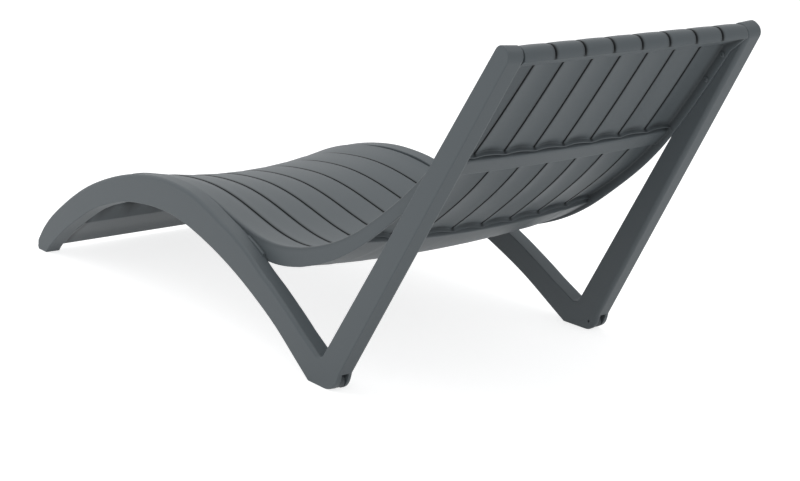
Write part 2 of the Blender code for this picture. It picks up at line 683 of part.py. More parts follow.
def make_shell(name, material):
    """The moulded shell: a grid of stations and columns, closed all round, open at the slots."""
    stations = shell_stations()
    columns = shell_columns()
    bm = bmesh.new()
    upper = []
    lower = []
    for station in stations:
        top_row = []
        low_row = []
        for column in columns:
            points = shell_points(station, column)
            for row, point in ((top_row, points[0]), (low_row, points[1])):
                x = column.share * half_width(point[1]) + column.shift
                row.append(bm.verts.new((x, point[0], point[1])))
        upper.append(top_row)
        lower.append(low_row)
    rows = len(stations) - 1
    cells = len(columns) - 1
    solid = [[not (stations[i].slots and stations[i + 1].slots and (columns[j].slot or columns[j + 1].slot))
              for j in range(cells)] for i in range(rows)]
    for i in range(rows):
        for j in range(cells):
            if not solid[i][j]:
                continue
            bm.faces.new((upper[i][j], upper[i][j + 1], upper[i + 1][j + 1], upper[i + 1][j]))
            bm.faces.new((lower[i][j], lower[i + 1][j], lower[i + 1][j + 1], lower[i][j + 1]))
            if j == 0 or not solid[i][j - 1]:
                bm.faces.new((upper[i][j], upper[i + 1][j], lower[i + 1][j], lower[i][j]))
            if j == cells - 1 or not solid[i][j + 1]:
                bm.faces.new((upper[i][j + 1], lower[i][j + 1], lower[i + 1][j + 1], upper[i + 1][j + 1]))
            if i == 0 or not solid[i - 1][j]:
                bm.faces.new((upper[i][j], lower[i][j], lower[i][j + 1], upper[i][j + 1]))
            if i == rows - 1 or not solid[i + 1][j]:
                bm.faces.new((upper[i + 1][j], upper[i + 1][j + 1], lower[i + 1][j + 1], lower[i + 1][j]))
    loose = [v for v in bm.verts if not v.link_faces]
    bmesh.ops.delete(bm, geom=loose, context="VERTS")
    return new_object(name, bm, material, math.radians(35))


def screw_place(side, share):
    """Where a screw's axis crosses the inner face of the shell's skirt."""
    station = seat_station(along(share))
    edge = station.point + Vector((0, dish(station.point[0], 1)))
    y, z = edge - station.normal * SCREW_DROP
    inner = half_width(z) - SKIRT_WALL - WALL_DRAFT
    return Vector((side * inner, y, z))


def screw_turn(side):
    """Rotation that points local Z out of the lounger, square to the frame."""
    return Vector((0, 0, 1)).rotation_difference(frame_normal(side)).to_matrix().to_4x4()


def make_screw(name, side, share, material):
    """Pan-head screw with its head on the skirt's inner face."""
    dome = SCREW_HEAD_HEIGHT / 3
    reach = SKIRT_WALL + WALL_DRAFT + SCREW_REACH
    profile = [
        (0, -SCREW_HEAD_HEIGHT), (SCREW_HEAD_RADIUS - dome, -SCREW_HEAD_HEIGHT),
        (SCREW_HEAD_RADIUS, -SCREW_HEAD_HEIGHT + dome), (SCREW_HEAD_RADIUS, -FIT_GAP), (SCREW_RADIUS, -FIT_GAP),
        (SCREW_RADIUS, reach - SCREW_RADIUS), (SCREW_RADIUS / 3, reach), (0, reach),
    ]
    bm = turned_mesh(profile, SCREW_SEGMENTS)
    bm.transform(screw_turn(side))
    item = new_object(name, bm, material, math.radians(35))
    item.location = screw_place(side, share)
    return item


def screw_holes(name, side, material):
    """One cutter with a hole for each screw of a side, through the skirt and into the frame."""
    radius = SCREW_RADIUS + SCREW_CLEARANCE
    reach = SKIRT_WALL + WALL_DRAFT + SCREW_REACH + SCREW_CLEARANCE
    bm = bmesh.new()
    for share in SCREW_SHARES:
        hole = turned_mesh([(0, -SCREW_HEAD_HEIGHT), (radius, -SCREW_HEAD_HEIGHT), (radius, reach), (0, reach)],
                           SCREW_SEGMENTS)
        hole.transform(Matrix.Translation(screw_place(side, share)) @ screw_turn(side))
        mesh = bpy.data.meshes.new("hole")
        hole.to_mesh(mesh)
        hole.free()
        bm.from_mesh(mesh)
        bpy.data.meshes.remove(mesh)
    cutter = new_object(name, bm, material)
    hide_cutter(cutter)
    return cutter


def build():
    """Make every piece of the lounger."""
    clear_scene()
    plastic = make_material("slate_plastic", PLASTIC_COLOUR, 0.45)
    pad_plastic = make_material("pad_plastic", PAD_COLOUR, 0.6)
    steel = make_material("zinc_steel", STEEL_COLOUR, 0.35, 1.0)
    shell = make_shell("seat_shell", plastic)
    for side, word in ((1, "left"), (-1, "right")):
        frame = make_frame(f"side_frame_{word}", side, plastic)
        holes = screw_holes(f"screw_holes_{word}", side, plastic)
        cut(frame, holes, "screw holes")
        cut(shell, holes, f"screw holes {word}")
        for cutter in wheel_pocket(side, plastic):
            cut(frame, cutter, cutter.name)
        for end, flat in (("front", FRONT_FLAT_SHARES), ("rear", REAR_FLAT_SHARES)):
            for cutter in pad_recess(f"{end} pad {word}", side, flat, plastic):
                cut(frame, cutter, cutter.name)
            make_pad(f"{end}_foot_pad_{word}", side, flat, pad_plastic)
        make_wheel(f"wheel_{word}", side, pad_plastic)
        make_axle(f"wheel_axle_{word}", side, steel)
        for number, share in enumerate(SCREW_SHARES, 1):
            make_screw(f"fixing_screw_{word}_{number}", side, share, steel)


build()
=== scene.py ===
"""Looks of the slatted sun lounger: a satin slate-grey moulding on a pale studio floor.

Metres, +Z up. -Y is the foot end, +Y the head end, +X the lying user's left.
"""
import math
from dataclasses import dataclass
from itertools import product

import bmesh
import bpy
import numpy as np
from mathutils import Matrix, Vector


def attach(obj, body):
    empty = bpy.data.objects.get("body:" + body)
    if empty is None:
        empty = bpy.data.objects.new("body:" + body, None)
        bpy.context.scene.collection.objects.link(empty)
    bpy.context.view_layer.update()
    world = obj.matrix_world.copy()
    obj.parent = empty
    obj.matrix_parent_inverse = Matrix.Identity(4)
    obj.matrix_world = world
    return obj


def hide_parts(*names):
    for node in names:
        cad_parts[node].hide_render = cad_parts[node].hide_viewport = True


bl_info = {
    "name": "Slatted Sun Lounger",
    "version": (1, 0, 0),
    "blender": (4, 5, 0),
    "location": "View3D > Sidebar > Lounger",
    "description": "Dresses a slatted plastic sun lounger with fine mouldings, finishes and a pale studio",
    "category": "Object",
}

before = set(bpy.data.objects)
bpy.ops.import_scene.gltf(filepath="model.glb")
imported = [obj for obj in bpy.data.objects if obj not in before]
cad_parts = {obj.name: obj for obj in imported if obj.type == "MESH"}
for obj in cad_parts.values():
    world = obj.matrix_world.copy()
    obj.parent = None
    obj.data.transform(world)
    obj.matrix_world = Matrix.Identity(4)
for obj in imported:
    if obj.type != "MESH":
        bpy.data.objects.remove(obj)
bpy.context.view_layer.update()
SIDES = ((1, "left"), (-1, "right"))
# Mesh layer of painted shade: how much the colour is darkened where shade falls
SHADE_LAYER = "painted_shade"

# The photograph's camera, for a picture 800 pixels wide, and the floor
PHOTO_WIDTH_PIXELS = 800
SENSOR_WIDTH_MM = 36.0
CAMERA_FOCAL_PIXELS = 1651.9
CAMERA_PLACE = (1.9939, 2.9370, 1.0594)
CAMERA_TURN = (math.radians(75.6751), 0.0, math.radians(144.0188))
FLOOR_HALF_SIZE = 30.0
# Radii of the painted shadow under the lounger, where the floor glows less
PAINTED_FLOOR_SHADOW_RADII = (0.90, 1.70)
FLOOR_PATCH_SCALE = 3.0
FLOOR_PATCH_SHARE = 0.985

# Sizes that stay with the mouldings
FIT_GAP = 0.0003
SLAT_COUNT = 8
SLAT_EDGE_DEPTH = 0.0101
SLAT_MIDDLE_DEPTH = 0.0058
SLAT_EDGE_DROP = 0.0004
GROOVE_DEPTH = 0.0042
SKIRT_WALL = 0.0045
SKIRT_DEPTH_SEAT = 0.0415
SKIRT_DEPTH_BACK = 0.0285
WALL_DRAFT = 0.0006
EDGE_HOLD = 0.0014
SHELL_EDGE_ROUND = 0.0035
DISH_DEPTH = 0.0305
FOOT_EDGE_LENGTH = 0.0425
FOOT_BOX_DEPTH = 0.0335
SEAT_BAR_DEPTH = 0.0240
SEAT_BAR_TOP_DEPTH = 0.0205
BACK_BAR_DEPTH = 0.0175
BACK_BAR_LOW_DEPTH = 0.0128
BAR_CORNER = 0.0040
BAR_RECESS_DEPTH = 0.0070
RECESS_LENGTH = 0.0032
LIP_THICKNESS = 0.0026
LIP_DEPTH = 0.0175
FOOT_LIP_DEPTH = 0.0112
FOOT_BOX_CHAMFER = 0.0500
LIP_SCALLOP = 0.0034
# How far painted shade reaches along the slats from a lip, and up a bar's wall from its recess
LIP_SHADE_REACH = 0.0100
WALL_SHADE_REACH = 0.0040
TOP_ROLL_RADIUS = 0.0173
TOP_FRONT_RADIUS = 0.0230
ROLL_LIP = 0.0030
ROLL_END_ANGLE = math.radians(28)
V_CORNER_RADIUS = 0.019
BRACE_TOP_RADIUS = 0.0168
TOE_RADIUS = 0.012

# Locating rib on each frame
RIB_SHARES = (0.5400, 0.5753)
RIB_RISES = (-0.0002, 0.0046)
RIB_DEPTH = 0.0290
RIB_ROUND = 0.0010
RIB_ROOT = 0.0030
RIB_STEPS = 24

# Small parts
PAD_THICKNESS = 0.0040
PAD_PROUD = 0.0010
PAD_INSET = 0.0060
PAD_EDGE_ROUND = 0.0012
PEG_RADIUS = 0.0040
PEG_LENGTH = 0.0120
WHEEL_RADIUS = 0.0150
WHEEL_WIDTH = 0.0135
WHEEL_SIDE_GAP = 0.0010
WHEEL_ARCH_GAP = 0.0020
WHEEL_FLOOR_GAP = 0.0056
WHEEL_BEHIND_FLAT = 0.0196
TREAD_ROUND = 0.0020
HUB_RECESS = 0.0010
AXLE_RADIUS = 0.0030
AXLE_SHANK = 0.0052
RUNNING_CLEARANCE = 0.0003
SCREW_RADIUS = 0.0025
SCREW_REACH = 0.0150
SCREW_HEAD_RADIUS = 0.0055
SCREW_HEAD_HEIGHT = 0.0030
SCREW_DROP = 0.0200
CROSS_WIDTH = 0.0012
CROSS_DEPTH = 0.0012
DOME_FULLNESS = 0.6

# Outline of a side frame, as shares of the length from the toe and of the height
ARCH_TOP_SHARES = [
    (0.0001, 0.035), (0.017, 0.086), (0.035, 0.127), (0.073, 0.192), (0.110, 0.246), (0.146, 0.291),
    (0.182, 0.327), (0.217, 0.356), (0.268, 0.389), (0.315, 0.408), (0.356, 0.416), (0.397, 0.413),
    (0.424, 0.406), (0.444, 0.396), (0.474, 0.375), (0.498, 0.355), (0.527, 0.332), (0.555, 0.304),
    (0.575, 0.279), (0.594, 0.252), (0.621, 0.219), (0.645, 0.187), (0.668, 0.155), (0.686, 0.128),
]
ARCH_BOTTOM_SHARES = [
    (0.704, 0.000), (0.665, 0.061), (0.633, 0.110), (0.595, 0.158), (0.553, 0.204), (0.503, 0.249),
    (0.458, 0.281), (0.420, 0.302), (0.384, 0.314), (0.359, 0.316), (0.332, 0.315), (0.306, 0.310),
    (0.279, 0.302), (0.251, 0.289), (0.223, 0.270), (0.194, 0.247), (0.165, 0.218), (0.131, 0.174),
    (0.105, 0.138), (0.084, 0.106), (0.058, 0.061), (0.036, 0.017), (0.030, 0.000),
]
V_BOTTOM_SHARES = (0.726, 0.075)
BRACE_FRONT_TOP_SHARES = (0.9843, 1.0145)
BRACE_REAR_TOP_SHARES = (1.0019, 0.9833)
HEEL_SHARES = [(0.7612, 0.0560), (0.7592, 0.0400), (0.7545, 0.0200), (0.7470, 0.0070), (0.7360, 0.0000)]
REAR_FLAT_SHARES = (0.704, 0.736)
FRONT_FLAT_SHARES = (0.005, 0.030)

# Middle line of the shell's upper face, in the same shares
SEAT_LINE_SHARES = [
    (0.018, 0.030), (0.034, 0.075), (0.074, 0.144), (0.111, 0.199), (0.147, 0.243), (0.182, 0.281),
    (0.217, 0.312), (0.268, 0.344), (0.315, 0.359), (0.350, 0.364), (0.385, 0.363), (0.420, 0.354),
    (0.455, 0.338), (0.525, 0.296), (0.596, 0.278), (0.666, 0.312), (0.736, 0.388), (0.794, 0.488),
    (0.853, 0.614), (0.911, 0.779), (0.970, 0.969),
]
DISH_FADE_SHARES = (0.600, 1.000)
SKIRT_FADE_SHARES = (0.580, 0.815)
FOOT_BOX_END_SHARE = 0.1250
SEAT_BAR_SHARES = (0.6430, 0.7512)
BACK_BAR_SHARES = (0.8610, 0.8803)
BAR_DISH_SHARES = (0.50, 0.85)
SLOT_TOP_SHARE = 0.9640
SCREW_SHARES = (0.160, 0.280, 0.400, 0.520, 0.935, 0.958)

# Lines along a slat's edge: inset in metres, then shares of its crown, hollow back and painted slot shade
SLAT_EDGE_LINES = [(0.0, 0.0, 0.0, 1.00), (EDGE_HOLD, 0.20, 0.0, 0.42), (0.0050, 0.40, 0.12, 0.0)]

# Lines along a slat's inside: shares of its width, crown and hollow back
SLAT_INNER_SHARES = [(0.25, 0.80, 0.70), (0.5, 1.0, 1.0), (0.75, 0.80, 0.70)]

# Lines in a slot where it is a closed notch, as shares of half its width
NOTCH_WALL_SHARES = (-0.75, 0.0, 0.75)
GROOVE_END_SHARES = (0.5, 0.0)
ROLL_CROWN_SHARE = 0.35
WALL_HOLD_SHARE = 0.3

# How much shade is painted in recesses, beside lips, in pockets, and at slot ends, seams and corners
RECESS_SHADE_SHARE = 0.75
LIP_SHADE_SHARE = 0.55
POCKET_SHADE_SHARE = 1.00
# Cross-sections of the foot box's chamfer that carry painted pocket shade, as shares of its length
POCKET_STATION_SHARES = (0.15, 0.40, 0.70)
PAINTED_SLOT_SHADE_SHARE = 0.60
SEAM_SHADE_SHARE = 0.30
CORNER_SHADE_SHARE = 0.60

# How finely round stretches are drawn
STATION_STEP = 0.040
SLOPE_STEP = STATION_STEP / 16
ARCH_STEPS = 110
CORNER_STEPS = 12
ROLL_STEPS = 8
EDGE_STEPS = 6
TREAD_STEPS = 5
PAD_EDGE_STEPS = 3
DOME_STEPS = 6
ROUND_SEGMENTS = 64
SCREW_SEGMENTS = 32
SHARP_ANGLE = math.radians(35)
SHARP_CUT_ANGLE = math.radians(32)
NEVER_SHARP_ANGLE = math.radians(180)
SHELL_SUBDIVISIONS = 2

# Surfaces
FLOAT = "NodeSocketFloat"
COLOUR = "NodeSocketColor"
WHITE = (1, 1, 1, 1)
DARK_GREY = (0.1, 0.1, 0.1, 1)
PALE_GREY = (0.2, 0.2, 0.2, 1)
WORN_POINTINESS = (0.52, 0.60)
WORN_LIGHTER = 1.6
RELIEF_DISTANCE = 0.0002
PLASTIC_IOR = 1.48
PLASTIC_GLOSS = 0.28
STEEL_GRAIN_SIZE = 0.0004
STEEL_STREAK_SIZE = 0.01
STEEL_SPREAD = 0.25
STEEL_ROUGHNESS = 0.34


def length_property(label, text, default):
    """A size in metres that a user may change."""
    return bpy.props.FloatProperty(name=label, description=text, default=default, unit="LENGTH")


def value_property(label, text, default, subtype="NONE"):
    """A value that a user may change."""
    return bpy.props.FloatProperty(name=label, description=text, default=default, subtype=subtype)


def colour_property(label, text, *default):
    """A colour that a user may change."""
    return bpy.props.FloatVectorProperty(
        name=label, description=text, default=default, subtype="COLOR", size=len(default))


class LoungerSizes(bpy.types.PropertyGroup):
    """Sizes that a user may change."""

    length: length_property("Length", "Toe to rolled top edge, along the floor", 1.800)
    width: length_property("Width", "Across both side frames at the floor", 0.700)
    height: length_property("Height", "Floor to rolled top edge", 0.701)
    thickness: length_property("Frame thickness", "Thickness of a side frame", 0.0356)
    lean: value_property("Frame lean", "How far the side frames lean inwards", math.radians(4.38), "ANGLE")
    soft_edge: length_property("Soft edge", "Rounding of the arch's outer top edge", 0.0085)
    crisp_edge: length_property("Crisp edge", "Rounding of the frames' other edges", 0.0022)
    slot_width: length_property("Slot width", "Gap between two slats", 0.0038)
    slat_crown: length_property("Slat crown", "Rise of a slat's middle over its edges", 0.0010)


class LoungerFinish(bpy.types.PropertyGroup):
    """Colours and surface values that a user may change."""

    plastic_colour: colour_property("Plastic", "Colour of the moulded plastic", 0.104, 0.120, 0.129)
    plastic_roughness: value_property("Plastic roughness", "Roughness of the satin plastic", 0.50, "FACTOR")
    pad_colour: colour_property("Pads", "Colour of the foot pads", 0.055, 0.060, 0.063)
    wheel_colour: colour_property("Wheels", "Colour of the wheels", 0.094, 0.106, 0.113)
    steel_colour: colour_property("Steel", "Colour of the axles", 0.48, 0.49, 0.50)
    screw_colour: colour_property("Screws", "Colour of the coated fixing screws", 0.094, 0.108, 0.116)
    grain_size: length_property("Grain size", "Size of the moulded grain", 0.0008)


class LoungerStage(bpy.types.PropertyGroup):
    """Light and floor that a user may change."""

    floor_colour: colour_property("Floor", "Colour of the studio floor", 0.62, 0.62, 0.62)
    floor_glow: value_property("Floor glow", "Soft light that the floor gives to the lounger", 0.34)
    # Lower glow under the lounger: a painted shadow in the light that the floor gives
    floor_glow_under: value_property("Floor glow beneath", "Soft light from below the lounger", 0.10)
    floor_white: value_property("Floor white", "Glow of the floor as the camera sees it", 0.78)
    sky_colour: colour_property("Sky", "Colour of the even light from all round", 0.97, 0.985, 1.0)
    sky_strength: value_property("Sky light", "Strength of the even light from all round", 0.62)
    key_power: value_property("Key light", "Power of the large lamp overhead", 26.0, "POWER")
    fill_power: value_property("Fill light", "Power of the lamp beside the camera", 5.0, "POWER")


def place(sizes, shares):
    """Turn shares of the length and height into a point of the side view."""
    return Vector((-sizes.length / 2 + shares[0] * sizes.length, shares[1] * sizes.height))


def along(sizes, share):
    """Turn a share of the length into a place along Y."""
    return -sizes.length / 2 + share * sizes.length


def spline(knots, places):
    """Natural cubic spline through the knots: one value for each place."""
    x = np.array([knot[0] for knot in knots])
    y = np.array([knot[1] for knot in knots])
    h = np.diff(x)
    count = len(x)
    system = np.zeros((count, count))
    right = np.zeros(count)
    system[0, 0] = 1
    system[-1, -1] = 1
    for i in range(1, count - 1):
        system[i, i - 1:i + 2] = (h[i - 1], 2 * (h[i - 1] + h[i]), h[i])
        right[i] = 6 * ((y[i + 1] - y[i]) / h[i] - (y[i] - y[i - 1]) / h[i - 1])
    bend = np.linalg.solve(system, right)
    i = np.clip(np.searchsorted(x, places) - 1, 0, count - 2)
    a = (x[i + 1] - places) / h[i]
    b = 1 - a
    curve = (a ** 3 - a) * bend[i] + (b ** 3 - b) * bend[i + 1]
    return a * y[i] + b * y[i + 1] + curve * h[i] ** 2 / 6


def smooth_curve(points, steps):
    """Points at even steps along a smooth curve through the given points."""
    run = [0.0]
    for first, second in zip(points, points[1:]):
        run.append(run[-1] + (second - first).length)
    places = np.linspace(0, run[-1], steps + 1)
    ys = spline([(s, p[0]) for s, p in zip(run, points)], places)
    zs = spline([(s, p[1]) for s, p in zip(run, points)], places)
    return [Vector((y, z)) for y, z in zip(ys, zs)]


def rounded_corner(before, corner, after, radius):
    """Replace a corner by an arc that is tangent to both of its sides."""
    to_before = (before - corner).normalized()
    to_after = (after - corner).normalized()
    half = math.acos(max(-1, min(1, to_before.dot(to_after)))) / 2
    middle = corner + (to_before + to_after).normalized() * radius / math.sin(half)
    start = corner + to_before * radius / math.tan(half) - middle
    end = corner + to_after * radius / math.tan(half) - middle
    sweep = start.angle_signed(end)
    return [middle + Matrix.Rotation(-sweep * i / CORNER_STEPS, 2) @ start for i in range(CORNER_STEPS + 1)]


def smooth_step(value):
    """Smooth rise from 0 to 1."""
    value = max(0.0, min(1.0, value))
    return value * value * (3 - 2 * value)


def quarter_turn(steps):
    """Even angles from zero to a right angle."""
    return [math.pi / 2 * i / steps for i in range(steps + 1)]


def full_turn(segments):
    """Even angles all round."""
    return [2 * math.pi * i / segments for i in range(segments)]


def mesh_object(name, bm, material, smooth_angle=SHARP_ANGLE):
    """Make an object from a bmesh, with its faces pointing out and smooth shading."""
    bmesh.ops.recalc_face_normals(bm, faces=bm.faces)
    mesh = bpy.data.meshes.new(name)
    bm.to_mesh(mesh)
    bm.free()
    mesh.materials.append(material)
    mesh.shade_smooth()
    mesh.set_sharp_from_angle(angle=smooth_angle)
    item = bpy.data.objects.new(name, mesh)
    bpy.context.scene.collection.objects.link(item)
    return item


def cut(item, cutter, label):
    """Subtract a cutter from an object and remove the cutter."""
    modifier = item.modifiers.new(label, "BOOLEAN")
    modifier.operation = "DIFFERENCE"
    modifier.solver = "EXACT"
    modifier.object = cutter
    graph = bpy.context.evaluated_depsgraph_get()
    mesh = bpy.data.meshes.new_from_object(item.evaluated_get(graph), depsgraph=graph)
    old = item.data
    item.modifiers.clear()
    item.data = mesh
    bpy.data.meshes.remove(old)
    bpy.data.objects.remove(cutter, do_unlink=True)


def settle(item):
    """Mark the sharp edges of an object that was cut, and shade its faces evenly."""
    item.data.shade_smooth()
    item.data.set_sharp_from_angle(angle=SHARP_CUT_ANGLE)
    item.modifiers.new("even shading", "WEIGHTED_NORMAL").keep_sharp = True
    return item


def dress(item, node, body="root"):
    """Let a fine piece stand for a CAD node, on the body that carries it."""
    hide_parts(node)
    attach(item, body)


def join_loops(bm, loops, closed=False):
    """Faces from each loop of vertices to the next, where a loop may be one vertex on an axis."""
    for low, high in zip(loops, loops[1:] + loops[:1] * closed):
        count = max(len(low), len(high))
        for i in range(count):
            j = (i + 1) % count
            corners = [low[i % len(low)], low[j % len(low)], high[j % len(high)], high[i % len(high)]]
            bm.faces.new(list(dict.fromkeys(corners)))


def turned_mesh(profile, segments):
    """Spin a closed (radius, height) profile that starts and ends on the Z axis."""
    bm = bmesh.new()
    rings = []
    for radius, height in profile:
        turn = full_turn(segments) if radius else [0]
        rings.append([bm.verts.new((radius * math.cos(a), radius * math.sin(a), height)) for a in turn])
    join_loops(bm, rings)
    return bm


def prism(outline, along_vector):
    """Extrude a closed outline along a vector."""
    bm = bmesh.new()
    face = bm.faces.new([bm.verts.new(point) for point in outline])
    grown = bmesh.ops.extrude_face_region(bm, geom=[face])
    moved = [v for v in grown["geom"] if isinstance(v, bmesh.types.BMVert)]
    bmesh.ops.translate(bm, verts=moved, vec=along_vector)
    return bm


def feed(tree, node, inputs):
    """Give each named or numbered input of a node a plain value or another node's output."""
    for label, value in inputs.items():
        if isinstance(value, bpy.types.NodeSocket):
            tree.links.new(value, node.inputs[label])
        else:
            node.inputs[label].default_value = value


def add_node(tree, kind, inputs, **settings):
    """Add a shader node, set it up and feed its inputs."""
    node = tree.nodes.new(kind)
    for name, value in settings.items():
        setattr(node, name, value)
    feed(tree, node, inputs)
    return node


def calculate(tree, operation, first, second, clamp=False):
    """Output of a Math node for two values or outputs."""
    inputs = {0: first, 1: second}
    return add_node(tree, "ShaderNodeMath", inputs, operation=operation, use_clamp=clamp).outputs[0]


def scaled(tree, colour, factor):
    """Output of a colour times a factor."""
    return add_node(tree, "ShaderNodeVectorMath", {0: colour, "Scale": factor}, operation="SCALE").outputs[0]


def mapped(tree, inputs, **settings):
    """Output of a Map Range node."""
    return add_node(tree, "ShaderNodeMapRange", inputs, **settings).outputs["Result"]


def node_group(name, inputs, outputs):
    """Start a shader node group with named sockets: returns it, its start's outputs and its end."""
    group = bpy.data.node_groups.new(name, "ShaderNodeTree")
    for label, value in inputs.items():
        kind = FLOAT if isinstance(value, float) else COLOUR
        group.interface.new_socket(name=label, in_out="INPUT", socket_type=kind).default_value = value
    for label, kind in outputs.items():
        group.interface.new_socket(name=label, in_out="OUTPUT", socket_type=kind)
    return group, group.nodes.new("NodeGroupInput").outputs, group.nodes.new("NodeGroupOutput")


def moulded_grain_group():
    """Fine pebbled grain of moulded plastic, with faint flow streaks: puts out a height and a mask."""
    group, start, end = node_group(
        "Moulded Grain", {"Grain Size": 0.0008, "Streak Size": 0.35}, {"Height": FLOAT, "Mask": FLOAT})
    where = add_node(group, "ShaderNodeTexCoord", {}).outputs["Object"]
    fineness = calculate(group, "DIVIDE", 1.0, start["Grain Size"])
    grain = add_node(group, "ShaderNodeTexVoronoi", {"Vector": where, "Scale": fineness, "Smoothness": 0.6},
                     feature="SMOOTH_F1")
    breadth = calculate(group, "DIVIDE", 1.0, start["Streak Size"])
    streaks = add_node(group, "ShaderNodeTexNoise", {"Vector": where, "Scale": breadth, "Detail": 3.0})
    feed(group, end, {"Height": grain.outputs["Distance"], "Mask": streaks.outputs["Fac"]})
    return group


def edge_wear_group():
    """Lighter rubbed edges, broken up by a mask: puts out a colour made from the base colour."""
    group, start, end = node_group(
        "Edge Wear", {"Base": DARK_GREY, "Rubbed": PALE_GREY, "Mask": 0.5, "Amount": 0.25}, {"Color": COLOUR})
    pointiness = add_node(group, "ShaderNodeNewGeometry", {}).outputs["Pointiness"]
    low, high = WORN_POINTINESS
    edge = mapped(group, {"Value": pointiness, "From Min": low, "From Max": high})
    broken = calculate(group, "MULTIPLY", edge, start["Mask"])
    amount = calculate(group, "MULTIPLY", broken, start["Amount"])
    mix = add_node(group, "ShaderNodeMix", {"Factor": amount, "A": start["Base"], "B": start["Rubbed"]},
                   data_type="RGBA")
    feed(group, end, {"Color": mix.outputs["Result"]})
    return group


def colour_spread_group():
    """Slight cloudiness: puts out a colour made a little lighter or darker by a mask, and the swing."""
    group, start, end = node_group(
        "Colour Spread", {"Base": DARK_GREY, "Mask": 0.5, "Spread": 0.06},
        {"Color": COLOUR, "Roughness Shift": FLOAT})
    centred = calculate(group, "SUBTRACT", start["Mask"], 0.5)
    swing = calculate(group, "MULTIPLY", centred, start["Spread"])
    tinted = scaled(group, start["Base"], calculate(group, "ADD", swing, 1.0))
    feed(group, end, {"Color": tinted, "Roughness Shift": swing})
    return group


def shade_painting_group():
    """Painted shade: darkens a colour in slots, notches, recesses, seams and corners, by the mesh's own shade
    layer.
    """
    group, start, end = node_group("Painted Shade", {"Base": DARK_GREY, "Amount": 0.8}, {"Color": COLOUR})
    layer = add_node(group, "ShaderNodeAttribute", {}, attribute_name=SHADE_LAYER).outputs["Fac"]
    amount = calculate(group, "MULTIPLY", layer, start["Amount"], clamp=True)
    left = calculate(group, "SUBTRACT", 1.0, amount)
    feed(group, end, {"Color": scaled(group, start["Base"], left)})
    return group


def clouded_material(name, groups, colour, roughness, spread, grain_sizes):
    """Start a material: returns it with its tree, its grain and its clouded colour."""
    material = bpy.data.materials.new(name)
    material.use_nodes = True
    material.diffuse_color = (*colour, 1)
    tree = material.node_tree
    grain = add_node(tree, "ShaderNodeGroup", grain_sizes, node_tree=groups["grain"])
    tint_inputs = {"Base": (*colour, 1), "Spread": spread, "Mask": grain.outputs["Mask"]}
    tint = add_node(tree, "ShaderNodeGroup", tint_inputs, node_tree=groups["spread"])
    shine = calculate(tree, "ADD", tint.outputs["Roughness Shift"], roughness)
    feed(tree, tree.nodes["Principled BSDF"], {"Roughness": shine})
    return material, tree, grain.outputs, tint.outputs["Color"]


def moulded_material(name, groups, colour, roughness, grain_size, spread, bump, wear):
    """A moulded plastic or rubber: grain, cloudiness, rubbed edges and painted shade."""
    material, tree, grain, tint = clouded_material(
        name, groups, colour, roughness, spread, {"Grain Size": grain_size})
    lighter = (*[min(1.0, c * WORN_LIGHTER) for c in colour], 1)
    wear_inputs = {"Base": tint, "Rubbed": lighter, "Mask": grain["Mask"], "Amount": wear}
    rubbed = add_node(tree, "ShaderNodeGroup", wear_inputs, node_tree=groups["wear"])
    shade_inputs = {"Base": rubbed.outputs["Color"]}
    shaded = add_node(tree, "ShaderNodeGroup", shade_inputs, node_tree=groups["shade"])
    relief_inputs = {"Height": grain["Height"], "Strength": bump, "Distance": RELIEF_DISTANCE}
    relief = add_node(tree, "ShaderNodeBump", relief_inputs)
    feed(tree, tree.nodes["Principled BSDF"], {
        "Base Color": shaded.outputs["Color"], "Normal": relief.outputs["Normal"],
        "IOR": PLASTIC_IOR, "Specular IOR Level": PLASTIC_GLOSS})
    return material


def steel_material(name, groups, colour):
    """Zinc-plated steel: a dull metal with the shared cloudiness and a fine grain."""
    material, tree, grain, tint = clouded_material(
        name, groups, colour, STEEL_ROUGHNESS, STEEL_SPREAD,
        {"Grain Size": STEEL_GRAIN_SIZE, "Streak Size": STEEL_STREAK_SIZE})
    feed(tree, tree.nodes["Principled BSDF"], {"Base Color": tint, "Metallic": 1.0})
    return material


def half_width(sizes, height):
    """Half of the shell's width at a height: the frames lean inwards."""
    inside = (sizes.thickness + FIT_GAP) / math.cos(sizes.lean)
    return sizes.width / 2 - inside - height * math.tan(sizes.lean)


def leaning_place(sizes, side, depth, y, height):
    """World point at a depth inside a side frame's outer face and a height above the floor."""
    out = depth / math.cos(sizes.lean) + height * math.tan(sizes.lean)
    return Vector((side * (sizes.width / 2 - out), y, height))


def frame_normal(sizes, side):
    """Unit vector square to a side frame, pointing out of the lounger."""
    return Vector((side * math.cos(sizes.lean), 0, math.sin(sizes.lean)))


